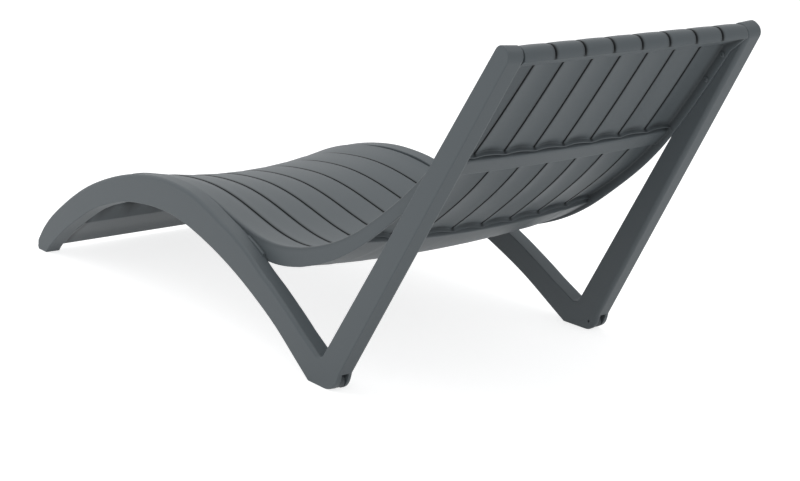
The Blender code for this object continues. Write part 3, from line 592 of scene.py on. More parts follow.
def frame_outline(sizes):
    """Closed, anticlockwise outline of a side frame, with its outer and inner edge rounding at each point."""
    top = smooth_curve([place(sizes, s) for s in ARCH_TOP_SHARES], ARCH_STEPS)
    bottom = smooth_curve([place(sizes, s) for s in ARCH_BOTTOM_SHARES], ARCH_STEPS)
    heel = smooth_curve([place(sizes, s) for s in HEEL_SHARES], CORNER_STEPS)
    v_bottom = place(sizes, V_BOTTOM_SHARES)
    front_top = place(sizes, BRACE_FRONT_TOP_SHARES)
    rear_top = place(sizes, BRACE_REAR_TOP_SHARES)
    soft_outside = (sizes.soft_edge, sizes.crisp_edge)
    soft_inside = (sizes.crisp_edge, sizes.soft_edge)
    crisp = (sizes.crisp_edge, sizes.crisp_edge)
    stretches = [
        (top, soft_outside, soft_outside),
        (rounded_corner(top[-1], v_bottom, front_top, V_CORNER_RADIUS), soft_outside, crisp),
        (rounded_corner(v_bottom, front_top, rear_top, BRACE_TOP_RADIUS), crisp, crisp),
        (rounded_corner(front_top, rear_top, heel[0], BRACE_TOP_RADIUS), crisp, soft_inside),
        (heel, soft_inside, crisp),
        (bottom, crisp, crisp),
        (rounded_corner(bottom[-1], Vector((top[0][0], 0)), top[0], TOE_RADIUS), crisp, soft_outside),
    ]
    outline = []
    for points, first, last in stretches:
        for i, point in enumerate(points):
            share = i / (len(points) - 1)
            outline.append((point, [a + (b - a) * share for a, b in zip(first, last)]))
    return outline[::-1]


def inset_outline(points, distances):
    """Move the points of a closed, anticlockwise outline inwards, square to its sides."""
    moved = []
    for i, point in enumerate(points):
        ahead = (points[(i + 1) % len(points)] - point).normalized()
        behind = (point - points[i - 1]).normalized()
        across = (ahead + behind).normalized()
        moved.append(point + Vector((-across[1], across[0])) * distances[i] / across.dot(ahead))
    return moved


def fine_frame(sizes, name, side, material):
    """One side frame: arch, rear leg and brace in one leaning moulding with rounded edges."""
    normal = frame_normal(sizes, side)
    up = Vector((-side * math.sin(sizes.lean), 0, math.cos(sizes.lean)))
    foot = Vector((side * sizes.width / 2, 0, 0))
    points, roundings = zip(*frame_outline(sizes))
    turns = quarter_turn(EDGE_STEPS)
    bm = bmesh.new()
    loops = []
    for face, turn in [(0, turn) for turn in turns] + [(1, turn) for turn in reversed(turns)]:
        insets = [rounding[face] * (1 - math.sin(turn)) for rounding in roundings]
        depths = [rounding[face] * (1 - math.cos(turn)) for rounding in roundings]
        if face == 1:
            depths = [sizes.thickness - depth for depth in depths]
        loops.append([bm.verts.new(foot - normal * depth + Vector((0, y, 0)) + up * z / math.cos(sizes.lean))
                      for (y, z), depth in zip(inset_outline(points, insets), depths)])
    join_loops(bm, loops)
    cheeks = [bm.faces.new(loops[0]), bm.faces.new(reversed(loops[-1]))]
    bm.normal_update()
    bmesh.ops.triangulate(bm, faces=cheeks)
    floor = bmesh.ops.bisect_plane(
        bm, geom=bm.verts[:] + bm.edges[:] + bm.faces[:], plane_co=(0, 0, PAD_PROUD),
        plane_no=(0, 0, 1), clear_inner=True)
    edges = [e for e in floor["geom_cut"] if isinstance(e, bmesh.types.BMEdge)]
    bmesh.ops.holes_fill(bm, edges=edges)
    return mesh_object(name, bm, material)


def frame_rib(sizes, name, side, material):
    """Narrow locating rib on a frame's top, beside the seat, where the seat dips below the arch."""
    top = smooth_curve([place(sizes, s) for s in ARCH_TOP_SHARES], ARCH_STEPS)
    ys = np.linspace(along(sizes, RIB_SHARES[0]), along(sizes, RIB_SHARES[1]), RIB_STEPS + 1)
    zs = np.interp(ys, [p[0] for p in top], [p[1] for p in top])
    inner, outer = RIB_DEPTH, sizes.thickness - FIT_GAP
    bm = bmesh.new()
    rings = []
    for y, z, rise in zip(ys, zs, np.linspace(*RIB_RISES, RIB_STEPS + 1)):
        corners = [(inner, -RIB_ROOT), (inner, rise - RIB_ROUND), (inner + RIB_ROUND, rise),
                   (outer - RIB_ROUND, rise), (outer, rise - RIB_ROUND), (outer, -RIB_ROOT)]
        places = [leaning_place(sizes, side, depth, y, z + lift) for depth, lift in corners]
        rings.append([bm.verts.new(point) for point in places])
    join_loops(bm, rings)
    bm.faces.new(rings[0])
    bm.faces.new(reversed(rings[-1]))
    return mesh_object(name, bm, material)


def wheel_centre(sizes, side):
    """Middle of a wheel, in the middle of the frame's thickness at the heel."""
    y = along(sizes, REAR_FLAT_SHARES[1]) + WHEEL_BEHIND_FLAT
    return leaning_place(sizes, side, sizes.thickness / 2, y, WHEEL_FLOOR_GAP + WHEEL_RADIUS)


def wheel_pocket(sizes, side, material):
    """Cutter for the slot in the heel that the wheel turns in, open down and back."""
    half = WHEEL_WIDTH / 2 + WHEEL_SIDE_GAP
    radius = WHEEL_RADIUS + WHEEL_ARCH_GAP
    mouth = radius * 2
    arch = [math.pi / 2 * (1 + i / CORNER_STEPS) for i in range(CORNER_STEPS + 1)]
    outline = [(radius * math.cos(a), radius * math.sin(a)) for a in arch]
    outline += [(-radius, -mouth), (mouth, -mouth), (mouth, radius)]
    bm = prism([(-half, y, z) for y, z in outline], (2 * half, 0, 0))
    bm.transform(Matrix.Translation(wheel_centre(sizes, side)))
    return mesh_object(f"wheel_pocket_{side}", bm, material)


def lie_on_axle(bm, sizes, side):
    """Lay a turned body along a wheel's axle."""
    bm.transform(Matrix.Translation(wheel_centre(sizes, side)) @ Matrix.Rotation(side * math.pi / 2, 4, "Y"))
    return bm


def axle_hole(sizes, side, material):
    """Cutter for the axle's hole, open on the frame's inner face."""
    half = WHEEL_WIDTH / 2 + WHEEL_SIDE_GAP
    bore = AXLE_RADIUS + RUNNING_CLEARANCE
    reach = half + AXLE_SHANK + RUNNING_CLEARANCE
    start = -half - sizes.thickness
    bm = turned_mesh([(0, start), (bore, start), (bore, reach), (0, reach)], SCREW_SEGMENTS)
    return mesh_object(f"axle_hole_{side}", lie_on_axle(bm, sizes, side), material)


def seat_height(sizes, y):
    """Height of the middle line of the shell's upper face."""
    knots = [tuple(place(sizes, s)) for s in SEAT_LINE_SHARES]
    return spline(knots, np.atleast_1d(np.asarray(y, dtype=float)))


def fade(sizes, y, shares):
    """Smooth step from 0 to 1 between two places along the length."""
    start, end = along(sizes, shares[0]), along(sizes, shares[1])
    return smooth_step((y - start) / (end - start))


def dish(sizes, y, share):
    """How far the upper face rises towards the sides, for a share of the half width."""
    return DISH_DEPTH * (1 - fade(sizes, y, DISH_FADE_SHARES)) * share * share


@dataclass
class Station:
    """One cross-section of the shell: a point of its upper face, and what is below it."""

    point: Vector
    normal: Vector
    back: Vector
    skirt_back: Vector = None
    follow: float = 1.0
    hollow: float = 0.0
    slots: bool = False
    groove: float = 1.0
    crown: float = 1.0
    # Shares of painted shade: all across, on hollow slat backs narrowed to a V, and along slot lines
    shade: float = 0.0
    slat_shade: float = 0.0
    narrowing: float = 0.0
    slot_mark: float = 0.0


def seat_station(sizes, y, depth=SLAT_EDGE_DEPTH, **settings):
    """Cross-section where the seat line passes y, square to that line."""
    step = SLOPE_STEP
    z = seat_height(sizes, [y - step, y, y + step])
    tangent = Vector((2 * step, z[2] - z[0])).normalized()
    normal = Vector((-tangent[1], tangent[0]))
    point = Vector((y, z[1]))
    skirt = SKIRT_DEPTH_SEAT + (SKIRT_DEPTH_BACK - SKIRT_DEPTH_SEAT) * fade(sizes, y, SKIRT_FADE_SHARES)
    return Station(point, normal, point - normal * depth, point - normal * skirt, **settings)


def even_places(sizes, start, end):
    """Places between two ends, no further apart along the curve than the station step, held at the ends."""
    rise = abs(seat_height(sizes, end)[0] - seat_height(sizes, start)[0])
    count = max(2, math.ceil(math.hypot(end - start, rise) / STATION_STEP))
    inner = [start + (end - start) * i / count for i in range(1, count)]
    return [start, start + EDGE_HOLD, *inner, end - EDGE_HOLD, end]


def slat_stretch(sizes, start, end):
    """Cross-sections of a stretch of open slats, with hollow backs that take painted shade beside the lip."""
    hollow = SLAT_EDGE_DEPTH - SLAT_MIDDLE_DEPTH
    lit = start + LIP_SHADE_REACH
    places = sorted([*even_places(sizes, start, end), lit])
    # Painted shade on the hollow backs close to the lip, and along the slot lines at the stretch's start
    return [seat_station(sizes, y, hollow=hollow, slots=True, slat_shade=LIP_SHADE_SHARE * (y < lit),
                         slot_mark=float(y == start)) for y in places]


def recess_and_lip(sizes, start, lip_depth, follow, pocket_shade=0.0):
    """Cross-sections of the narrow recess behind a bar, with painted shade in it, and of the thin lip that
    closes it.
    """
    lip = start + RECESS_LENGTH
    end = lip + LIP_THICKNESS
    soft = WALL_DRAFT
    wall = seat_station(sizes, start - soft / 2, BAR_RECESS_DEPTH + WALL_SHADE_REACH, follow=follow,
                        slat_shade=pocket_shade)
    recess = [(start, BAR_RECESS_DEPTH + soft), (start + soft * 2, BAR_RECESS_DEPTH),
              (lip - soft * 2, BAR_RECESS_DEPTH), (lip, BAR_RECESS_DEPTH + soft)]
    edge = [(lip + soft, lip_depth - soft), (lip + soft * 2, lip_depth), (end - soft / 2, lip_depth),
            (end, lip_depth - soft)]
    stations = [wall, *[seat_station(sizes, y, depth, shade=RECESS_SHADE_SHARE) for y, depth in recess],
                *[seat_station(sizes, y, depth, hollow=LIP_SCALLOP) for y, depth in edge]]
    # The lip's outer edge takes painted shade along the slot lines
    stations[-1].slot_mark = PAINTED_SLOT_SHADE_SHARE
    return stations


def cross_bar(sizes, shares, low_depth, top_depth):
    """Cross-sections of a bar across the slats' backs, flatter than the dish, with its recess and lip."""
    start, end = along(sizes, shares[0]), along(sizes, shares[1])
    places = even_places(sizes, start + BAR_CORNER, end - BAR_CORNER)
    depths = np.interp(places, (places[0], places[-1]), (low_depth, top_depth))
    outline = [(start + WALL_DRAFT, low_depth - BAR_CORNER),
               (start + BAR_CORNER / 2, low_depth - BAR_CORNER / 3)]
    outline += list(zip(places, depths))
    outline += [(end - BAR_CORNER / 3, top_depth), (end, top_depth - BAR_CORNER / 3)]
    follows = np.interp([y for y, depth in outline], (start, end), BAR_DISH_SHARES)
    bar = [seat_station(sizes, y, depth, follow=follow) for (y, depth), follow in zip(outline, follows)]
    return bar + recess_and_lip(sizes, end + WALL_DRAFT, LIP_DEPTH, BAR_DISH_SHARES[1])


def foot_box(sizes):
    """Cross-sections of the closed box that stiffens the foot end, with painted V-shaped shade on its
    chamfer.
    """
    foot = along(sizes, SEAT_LINE_SHARES[0][0])
    box_end = along(sizes, FOOT_BOX_END_SHARE)
    level_end = box_end - FOOT_BOX_CHAMFER
    places = even_places(sizes, foot, level_end)
    stations = [seat_station(sizes, y, FOOT_BOX_DEPTH, follow=0.0) for y in places]
    for station, length in zip(stations, (FOOT_EDGE_LENGTH, FOOT_EDGE_LENGTH + EDGE_HOLD)):
        station.back = stations[0].point + Vector((length, length - FOOT_EDGE_LENGTH))
    root_depth = BAR_RECESS_DEPTH + WALL_SHADE_REACH
    # V-shaped painted shade at each slat's middle, wide at the chamfer's root, narrowing towards the box
    for share in POCKET_STATION_SHARES:
        depth = FOOT_BOX_DEPTH + (root_depth - FOOT_BOX_DEPTH) * share
        stations.append(seat_station(sizes, level_end + FOOT_BOX_CHAMFER * share, depth, follow=0.0,
                                     slat_shade=POCKET_SHADE_SHARE, narrowing=1 - share))
    for station in stations:
        station.skirt_back = None
    return stations + recess_and_lip(sizes, box_end + WALL_DRAFT, FOOT_LIP_DEPTH, 0.0, POCKET_SHADE_SHARE)


def top_roll(sizes, slot_top):
    """Cross-sections of the rolled edge: the face turns over the top and down behind."""
    neck = seat_station(sizes, slot_top)
    edge = seat_station(sizes, along(sizes, SEAT_LINE_SHARES[-1][0]))
    up = Vector((edge.normal[1], -edge.normal[0]))
    top = sizes.height - sizes.slat_crown
    corner = edge.point + up * (top - edge.point[1]) / up[1]
    centre = Vector((sizes.length / 2 - sizes.slat_crown - TOP_ROLL_RADIUS, top - TOP_ROLL_RADIUS))
    turn = math.pi / 2 + ROLL_END_ANGLE
    angles = [math.pi / 2 - turn * i / ROLL_STEPS for i in range(ROLL_STEPS + 1)]
    face = rounded_corner(neck.point, corner, Vector((centre[0], top)), TOP_FRONT_RADIUS)[::2]
    face += [centre + Vector((math.cos(a), math.sin(a))) * TOP_ROLL_RADIUS for a in angles]
    inward = (centre - face[-1]).normalized()
    sole_end = face[-1] + Vector((inward[1], -inward[0])) * ROLL_LIP + inward * ROLL_LIP / 4
    rows = []
    for i, point in enumerate(face):
        ahead = face[min(i + 1, len(face) - 1)]
        behind = face[i - 1] if i else neck.point
        tangent = (ahead - behind).normalized()
        share = (i + 1) / len(face)
        back = neck.back.lerp(sole_end, share)
        skirt_back = neck.skirt_back.lerp(sole_end, share)
        rows.append(Station(point, Vector((-tangent[1], tangent[0])), back, skirt_back,
                            crown=1 + (ROLL_CROWN_SHARE - 1) * share))
    for row, share in zip(rows[-len(GROOVE_END_SHARES):], GROOVE_END_SHARES):
        row.groove = share
    return rows


def shell_stations(sizes):
    """All cross-sections of the shell, from the foot edge to the rolled top edge."""
    after_recess = RECESS_LENGTH + LIP_THICKNESS + WALL_DRAFT * 2
    seat = (along(sizes, FOOT_BOX_END_SHARE) + after_recess, along(sizes, SEAT_BAR_SHARES[0]))
    waist = (along(sizes, SEAT_BAR_SHARES[1]) + after_recess, along(sizes, BACK_BAR_SHARES[0]))
    back = (along(sizes, BACK_BAR_SHARES[1]) + after_recess, along(sizes, SLOT_TOP_SHARE))
    stations = foot_box(sizes)
    stations += slat_stretch(sizes, *seat)
    stations += cross_bar(sizes, SEAT_BAR_SHARES, SEAT_BAR_DEPTH, SEAT_BAR_TOP_DEPTH)
    stations += slat_stretch(sizes, *waist)
    stations += cross_bar(sizes, BACK_BAR_SHARES, BACK_BAR_LOW_DEPTH, BACK_BAR_DEPTH)
    stations += slat_stretch(sizes, *back)
    return stations + top_roll(sizes, back[1])


@dataclass
class Column:
    """One line along the shell: where it lies across the width, and what it carries."""

    share: float
    shift: float
    crown: float = 0.0
    hollow: float = 0.0
    drop: float = 0.0
    skirt: bool = False
    nudge: float = 0.0
    slot: bool = False
    # Share of painted shade on a line at a slot's edge
    slot_edge: float = 0.0
    # Whether painted shade along the seam with the frame falls on this line
    seam: bool = False


def skirt_columns(side):
    """Lines of one skirt's wall, from its outer face inwards."""
    inwards = -side
    edge = [
        # The outer lines take painted shade along the seam with the frame, not on the rolled edge
        Column(side, 0, drop=SHELL_EDGE_ROUND, skirt=True, seam=True),
        Column(side, inwards * SHELL_EDGE_ROUND / 3, drop=SHELL_EDGE_ROUND / 3, skirt=True, seam=True),
        Column(side, inwards * (SKIRT_WALL - WALL_DRAFT), skirt=True),
        Column(side, inwards * SKIRT_WALL, skirt=True, nudge=EDGE_HOLD),
        Column(side, inwards * (SKIRT_WALL + WALL_DRAFT), nudge=-EDGE_HOLD),
        Column(side, inwards * (SKIRT_WALL + WALL_DRAFT + EDGE_HOLD)),
    ]
    return edge if side < 0 else edge[::-1]


def slat_edge_columns(sizes, share, inwards):
    """Lines along one edge of a slat, from the slot inwards."""
    half_slot = sizes.slot_width / 2
    return [Column(share, inwards * (half_slot + inset), crown, hollow, drop=SLAT_EDGE_DROP * (inset == 0),
                   slot_edge=shade) for inset, crown, hollow, shade in SLAT_EDGE_LINES]


def shell_columns(sizes):
    """Lines along the shell: skirt walls, slats and the middles of the slots between them."""
    columns = skirt_columns(-1)
    half_slot = sizes.slot_width / 2
    for slat in range(SLAT_COUNT):
        left, right = [2 * edge / SLAT_COUNT - 1 for edge in (slat, slat + 1)]
        if slat:
            columns += slat_edge_columns(sizes, left, 1)
        columns += [Column(left + (right - left) * share, half_slot * (1 - 2 * share), crown, hollow)
                    for share, crown, hollow in SLAT_INNER_SHARES]
        if slat < SLAT_COUNT - 1:
            columns += reversed(slat_edge_columns(sizes, right, -1))
            # Slot middles take full painted shade on the upper face
            columns += [Column(right, half_slot * share, slot=True) for share in NOTCH_WALL_SHARES]
    return columns + skirt_columns(1)


def shell_points(sizes, station, column):
    """Upper and lower point of the shell for one station and one column."""
    lift = Vector((0, dish(sizes, station.point[0], column.share)))
    groove = GROOVE_DEPTH * station.groove if column.slot else 0.0
    rise = (column.crown * sizes.slat_crown - column.drop) * station.crown - groove
    upper = station.point + lift + station.normal * rise
    lower = station.back + station.normal * station.hollow * column.hollow + lift * station.follow
    if station.skirt_back is None:
        return upper, lower
    skirt = station.skirt_back + lift
    nudge = column.nudge if (lower - skirt).dot(station.normal) > 2 * EDGE_HOLD else 0.0
    if column.skirt:
        lower = skirt
    return upper, lower + station.normal * nudge


def upper_shade(station, column):
    """Share of the painted shade at a point of the upper face: in slots and seams, and at slot edges."""
    seam = column.seam and station.crown == 1
    return max(column.slot, column.slot_edge, seam * SEAM_SHADE_SHARE)


def lower_shade(station, column):
    """Share of the painted shade at a point of the lower face: beside slots and skirts and in recesses."""
    # Painted shade on the slats' backs in the corners beside the skirts
    if abs(column.share) == 1:
        return CORNER_SHADE_SHARE * (not column.skirt)
    slat_shade = station.slat_shade * max(0.0, column.hollow - station.narrowing)
    if station.slots or station.slot_mark:
        beside = column.slot_edge * (1 if station.slots else station.slot_mark)
        return max(station.slot_mark * column.slot, beside, slat_shade)
    return max(station.shade, slat_shade)


class GridBody:
    """A closed body between two height fields, open where a cell is left out, for subdivision."""

    def __init__(self, upper, lower, solid, stations, columns):
        self.bm = bmesh.new()
        self.shade = self.bm.verts.layers.float.new(SHADE_LAYER)
        self.upper = self.grid(upper, stations, columns, upper_shade)
        self.lower = self.grid(lower, stations, columns, lower_shade)
        self.solid = solid
        self.in_slot = [column.slot or column.slot_edge for column in columns]
        self.between = {}

    def point(self, place, shade):
        """A vertex, with the share of the painted shade that it carries."""
        vertex = self.bm.verts.new(place)
        vertex[self.shade] = shade
        return vertex

    def grid(self, rows, stations, columns, shade):
        """Vertices of one face: a row for each station, with a vertex for each column."""
        return [[self.point(p, shade(station, column)) for p, column in zip(row, columns)]
                for row, station in zip(rows, stations)]

    def wall_line(self, i, j):
        """Points down a wall from the upper to the lower vertex, held close to both edges."""
        if (i, j) not in self.between:
            top, low = self.upper[i][j], self.lower[i][j]
            length = (top.co - low.co).length
            share = min(WALL_HOLD_SHARE, EDGE_HOLD / max(length, EDGE_HOLD))
            # Inner points of a wall beside a slot take full painted shade
            inner = [self.point(top.co.lerp(low.co, s), self.in_slot[j]) for s in (share, 1 - share)]
            self.between[(i, j)] = [top, *inner, low]
        return self.between[(i, j)]

    def wall(self, first, second):
        """A wall between two grid points, in bands."""
        a, b = self.wall_line(*first), self.wall_line(*second)
        for k in range(len(a) - 1):
            self.bm.faces.new((a[k], b[k], b[k + 1], a[k + 1]))

    def is_solid(self, i, j):
        """Whether a cell lies on the grid and holds material."""
        return 0 <= i < len(self.solid) and 0 <= j < len(self.solid[0]) and self.solid[i][j]

    def build(self):
        """Make every face and return the bmesh."""
        up, low = self.upper, self.lower
        for i, j in product(range(len(self.solid)), range(len(self.solid[0]))):
            if not self.solid[i][j]:
                continue
            self.bm.faces.new((up[i][j], up[i][j + 1], up[i + 1][j + 1], up[i + 1][j]))
            self.bm.faces.new((low[i][j], low[i + 1][j], low[i + 1][j + 1], low[i][j + 1]))
            edges = {(i, j - 1): ((i, j), (i + 1, j)), (i, j + 1): ((i + 1, j + 1), (i, j + 1)),
                     (i - 1, j): ((i, j + 1), (i, j)), (i + 1, j): ((i + 1, j), (i + 1, j + 1))}
            for neighbour, ends in edges.items():
                if not self.is_solid(*neighbour):
                    self.wall(*ends)
        loose = [v for v in self.bm.verts if not v.link_faces]
        bmesh.ops.delete(self.bm, geom=loose, context="VERTS")
        return self.bm


def fine_shell(sizes, name, material):
    """The moulded shell: a cage of stations and columns, rounded by subdivision."""
    stations = shell_stations(sizes)
    columns = shell_columns(sizes)
    upper, lower = [], []
    for station in stations:
        pairs = [shell_points(sizes, station, column) for column in columns]
        for rows, which in ((upper, 0), (lower, 1)):
            points = [pair[which] for pair in pairs]
            rows.append([(column.share * half_width(sizes, z) + column.shift, y, z)
                         for column, (y, z) in zip(columns, points)])
    solid = [[not (stations[i].slots and stations[i + 1].slots and (columns[j].slot or columns[j + 1].slot))
              for j in range(len(columns) - 1)] for i in range(len(stations) - 1)]
    body = GridBody(upper, lower, solid, stations, columns)
    item = mesh_object(name, body.build(), material, NEVER_SHARP_ANGLE)
    smooth = item.modifiers.new("rounded moulding", "SUBSURF")
    smooth.levels = SHELL_SUBDIVISIONS
    smooth.render_levels = SHELL_SUBDIVISIONS
    return item


def fine_wheel(sizes, name, side, material):
    """A small wheel with a rounded, ribbed tread, a recessed face and a bore for its axle."""
    half = WHEEL_WIDTH / 2
    bore = AXLE_RADIUS + RUNNING_CLEARANCE
    rim = WHEEL_RADIUS - TREAD_ROUND * 2
    boss = bore + TREAD_ROUND
    groove = HUB_RECESS / 2
    section = [(bore, -half + HUB_RECESS / 4), (bore + HUB_RECESS / 4, -half), (boss, -half),
               (boss + HUB_RECESS, -half + HUB_RECESS), (rim, -half + HUB_RECESS), (rim + HUB_RECESS, -half)]
    section += [(WHEEL_RADIUS - TREAD_ROUND * (1 - math.sin(a)), -half + TREAD_ROUND * (1 - math.cos(a)))
                for a in quarter_turn(TREAD_STEPS)]
    section += [(WHEEL_RADIUS, -groove * 2), (WHEEL_RADIUS - groove, -groove)]
    section += [(radius, -height) for radius, height in reversed(section)]
    bm = bmesh.new()
    turn = full_turn(ROUND_SEGMENTS)
    rings = [[bm.verts.new((height, radius * math.sin(a), radius * math.cos(a))) for a in turn]
             for radius, height in section]
    join_loops(bm, rings, closed=True)
    bm.transform(Matrix.Translation(wheel_centre(sizes, side)))
    return mesh_object(name, bm, material)


def fine_axle(sizes, name, side, material):
    """Axle pin with a chamfer at both ends."""
    half = WHEEL_WIDTH / 2 + WHEEL_SIDE_GAP + AXLE_SHANK
    chamfer = AXLE_RADIUS / 5
    profile = [(0, -half), (AXLE_RADIUS - chamfer, -half), (AXLE_RADIUS, -half + chamfer),
               (AXLE_RADIUS, half - chamfer), (AXLE_RADIUS - chamfer, half), (0, half)]
    bm = turned_mesh(profile, SCREW_SEGMENTS)
    return mesh_object(name, lie_on_axle(bm, sizes, side), material)


def pad_span(sizes, flat_shares):
    """Front and rear ends of a foot pad along Y."""
    return along(sizes, flat_shares[0]) + PAD_INSET, along(sizes, flat_shares[1]) - PAD_INSET


def peg_place(sizes, side, flat_shares):
    """Where a pad's peg stands, at the top of the pad."""
    start, end = pad_span(sizes, flat_shares)
    return leaning_place(sizes, side, sizes.thickness / 2, (start + end) / 2, PAD_THICKNESS)


def pad_outline(sizes, flat_shares, grown):
    """Rounded outline of a pad about its middle, grown all round by a clearance."""
    start, end = pad_span(sizes, flat_shares)
    half_across = sizes.thickness / 2 - PAD_INSET
    half_length = (end - start) / 2
    corner = min(PAD_INSET / 2, half_length / 2, half_across / 2) + grown
    corners = [Vector((sx * (half_across + grown), sy * (half_length + grown)))
               for sx, sy in ((-1, -1), (1, -1), (1, 1), (-1, 1))]
    outline = []
    for i, point in enumerate(corners):
        outline += rounded_corner(corners[i - 1], point, corners[(i + 1) % len(corners)], corner)
    return outline


def pad_recess(sizes, side, flat_shares, material):
    """Cutters for the recess that a pad's plate sits in, and for the hole that its peg pushes into."""
    radius = PEG_RADIUS + FIT_GAP
    depth = PEG_LENGTH + FIT_GAP
    hole = turned_mesh([(0, -PAD_THICKNESS), (radius, -PAD_THICKNESS), (radius, depth), (0, depth)],
                       SCREW_SEGMENTS)
    outline = pad_outline(sizes, flat_shares, FIT_GAP)
    recess = prism([(x, y, FIT_GAP) for x, y in outline], (0, 0, -PAD_THICKNESS * 2))
    for bm in (recess, hole):
        bm.transform(Matrix.Translation(peg_place(sizes, side, flat_shares)))
    return [mesh_object("pad_recess", recess, material), mesh_object("peg_hole", hole, material)]


def fine_pad(sizes, name, side, flat_shares, material):
    """Glide pad: a rounded plate with a softened lower edge and a peg, in one piece."""
    rings = [(0, 0)]
    rings += [(PAD_EDGE_ROUND * (math.cos(a) - 1), -PAD_THICKNESS + PAD_EDGE_ROUND * (1 - math.sin(a)))
              for a in quarter_turn(PAD_EDGE_STEPS)]
    bm = bmesh.new()
    plate = [[bm.verts.new((x, y, z)) for x, y in pad_outline(sizes, flat_shares, grown)]
             for grown, z in rings]
    turn = full_turn(SCREW_SEGMENTS)
    peg = [[bm.verts.new((PEG_RADIUS * math.cos(a), PEG_RADIUS * math.sin(a), z)) for a in turn]
           for z in (0, PEG_LENGTH)]
    for loops in (plate, peg):
        join_loops(bm, loops)
        bm.faces.new(loops[-1])
    roots = [bm.edges.get((loop[i], loop[(i + 1) % len(loop)]))
             for loop in (plate[0], peg[0]) for i in range(len(loop))]
    bmesh.ops.bridge_loops(bm, edges=roots)
    bm.transform(Matrix.Translation(peg_place(sizes, side, flat_shares)))
    return mesh_object(name, bm, material)


def screw_place(sizes, side, share):
    """Where a screw's axis crosses the inner face of the shell's skirt."""
    station = seat_station(sizes, along(sizes, share))
    edge = station.point + Vector((0, dish(sizes, station.point[0], 1)))
    y, z = edge - station.normal * SCREW_DROP
    inner = half_width(sizes, z) - SKIRT_WALL - WALL_DRAFT
    return Vector((side * inner, y, z))


def fine_screw(sizes, name, side, share, material):
    """Pan-head screw with a domed head and a cross recess."""
    reach = SKIRT_WALL + WALL_DRAFT + SCREW_REACH
    crown = SCREW_HEAD_HEIGHT - FIT_GAP
    profile = [(0, -SCREW_HEAD_HEIGHT)]
    profile += [(SCREW_HEAD_RADIUS * math.sin(a), -FIT_GAP - crown * math.cos(a) ** DOME_FULLNESS)
                for a in quarter_turn(DOME_STEPS)[1:-1]]
    profile += [(SCREW_HEAD_RADIUS, -FIT_GAP), (SCREW_RADIUS, -FIT_GAP), (SCREW_RADIUS, reach - SCREW_RADIUS),
                (SCREW_RADIUS / 3, reach), (0, reach)]
    item = mesh_object(name, turned_mesh(profile, SCREW_SEGMENTS), material)
    top = Matrix.Translation((0, 0, -SCREW_HEAD_HEIGHT))
    for sides in ((CROSS_WIDTH, SCREW_HEAD_RADIUS), (SCREW_HEAD_RADIUS, CROSS_WIDTH)):
        blade = bmesh.new()
        bmesh.ops.create_cube(blade, size=1)
        blade.transform(top @ Matrix.Diagonal((*sides, CROSS_DEPTH * 2, 1)))
        cut(item, mesh_object("screwdriver_blade", blade, material), "cross recess")
    turn = Vector((0, 0, 1)).rotation_difference(frame_normal(sizes, side)).to_matrix().to_4x4()
    item.data.transform(Matrix.Translation(screw_place(sizes, side, share)) @ turn)
    return settle(item)


def finish_materials(context):
    """The materials of the lounger, made once and found again by name."""
    finish = context.scene.lounger_finish
    if "slate_plastic_fine" in bpy.data.materials:
        return bpy.data.materials
    # The shade group darkens the colour by the mesh's layer of painted shade
    groups = {"grain": moulded_grain_group(), "wear": edge_wear_group(), "spread": colour_spread_group(),
              "shade": shade_painting_group()}
    # Name, colour, roughness, spread of the colour, strength of the grain and wear of the edges
    moulded = (
        ("slate_plastic_fine", finish.plastic_colour, finish.plastic_roughness, 0.05, 0.25, 0.10),
        ("pad_rubber_fine", finish.pad_colour, 0.62, 0.12, 0.40, 0.25),
        ("wheel_plastic_fine", finish.wheel_colour, 0.55, 0.12, 0.30, 0.30),
        ("coated_screw_fine", finish.screw_colour, 0.50, 0.05, 0.15, 0.00),
    )
    for name, colour, roughness, spread, bump, wear in moulded:
        moulded_material(name, groups, colour, roughness, finish.grain_size, spread, bump, wear)
    steel_material("zinc_steel_fine", groups, finish.steel_colour)
    return bpy.data.materials


def seen_directly(tree):
    """An output that is 1 for rays from the camera, a mirror or a clear surface, and otherwise 0."""
    rays = add_node(tree, "ShaderNodeLightPath", {}).outputs
    bounced = calculate(tree, "MAXIMUM", rays["Is Glossy Ray"], rays["Is Transmission Ray"])
    return calculate(tree, "MAXIMUM", rays["Is Camera Ray"], bounced)


def make_world(stage):
    """Even pale light from all round, with a white background for the camera."""
    world = bpy.data.worlds.new("studio")
    bpy.context.scene.world = world
    world.use_nodes = True
    tree = world.node_tree
    light = tree.nodes["Background"]
    feed(tree, light, {"Color": (*stage.sky_colour, 1), "Strength": stage.sky_strength})
    backdrop = add_node(tree, "ShaderNodeBackground", {"Color": WHITE, "Strength": 1.0})
    mix_inputs = {"Fac": seen_directly(tree), 1: light.outputs[0], 2: backdrop.outputs[0]}
    mix = add_node(tree, "ShaderNodeMixShader", mix_inputs)
    feed(tree, tree.nodes["World Output"], {"Surface": mix.outputs[0]})


def floor_glow(tree, stage):
    """Output for the floor's glow: white as the camera sees it, else soft, and weaker under the lounger as a
    painted shadow.
    """
    where = add_node(tree, "ShaderNodeTexCoord", {}).outputs["Object"]
    reach = (1 / PAINTED_FLOOR_SHADOW_RADII[0], 1 / PAINTED_FLOOR_SHADOW_RADII[1], 0)
    shrunk = add_node(tree, "ShaderNodeVectorMath", {0: where, 1: reach}, operation="MULTIPLY").outputs[0]
    distance = add_node(tree, "ShaderNodeVectorMath", {0: shrunk}, operation="LENGTH").outputs["Value"]
    soft = mapped(tree, {"Value": distance, "To Min": stage.floor_glow_under, "To Max": stage.floor_glow},
                  interpolation_type="SMOOTHSTEP")
    return mapped(tree, {"Value": seen_directly(tree), "To Min": soft, "To Max": stage.floor_white})


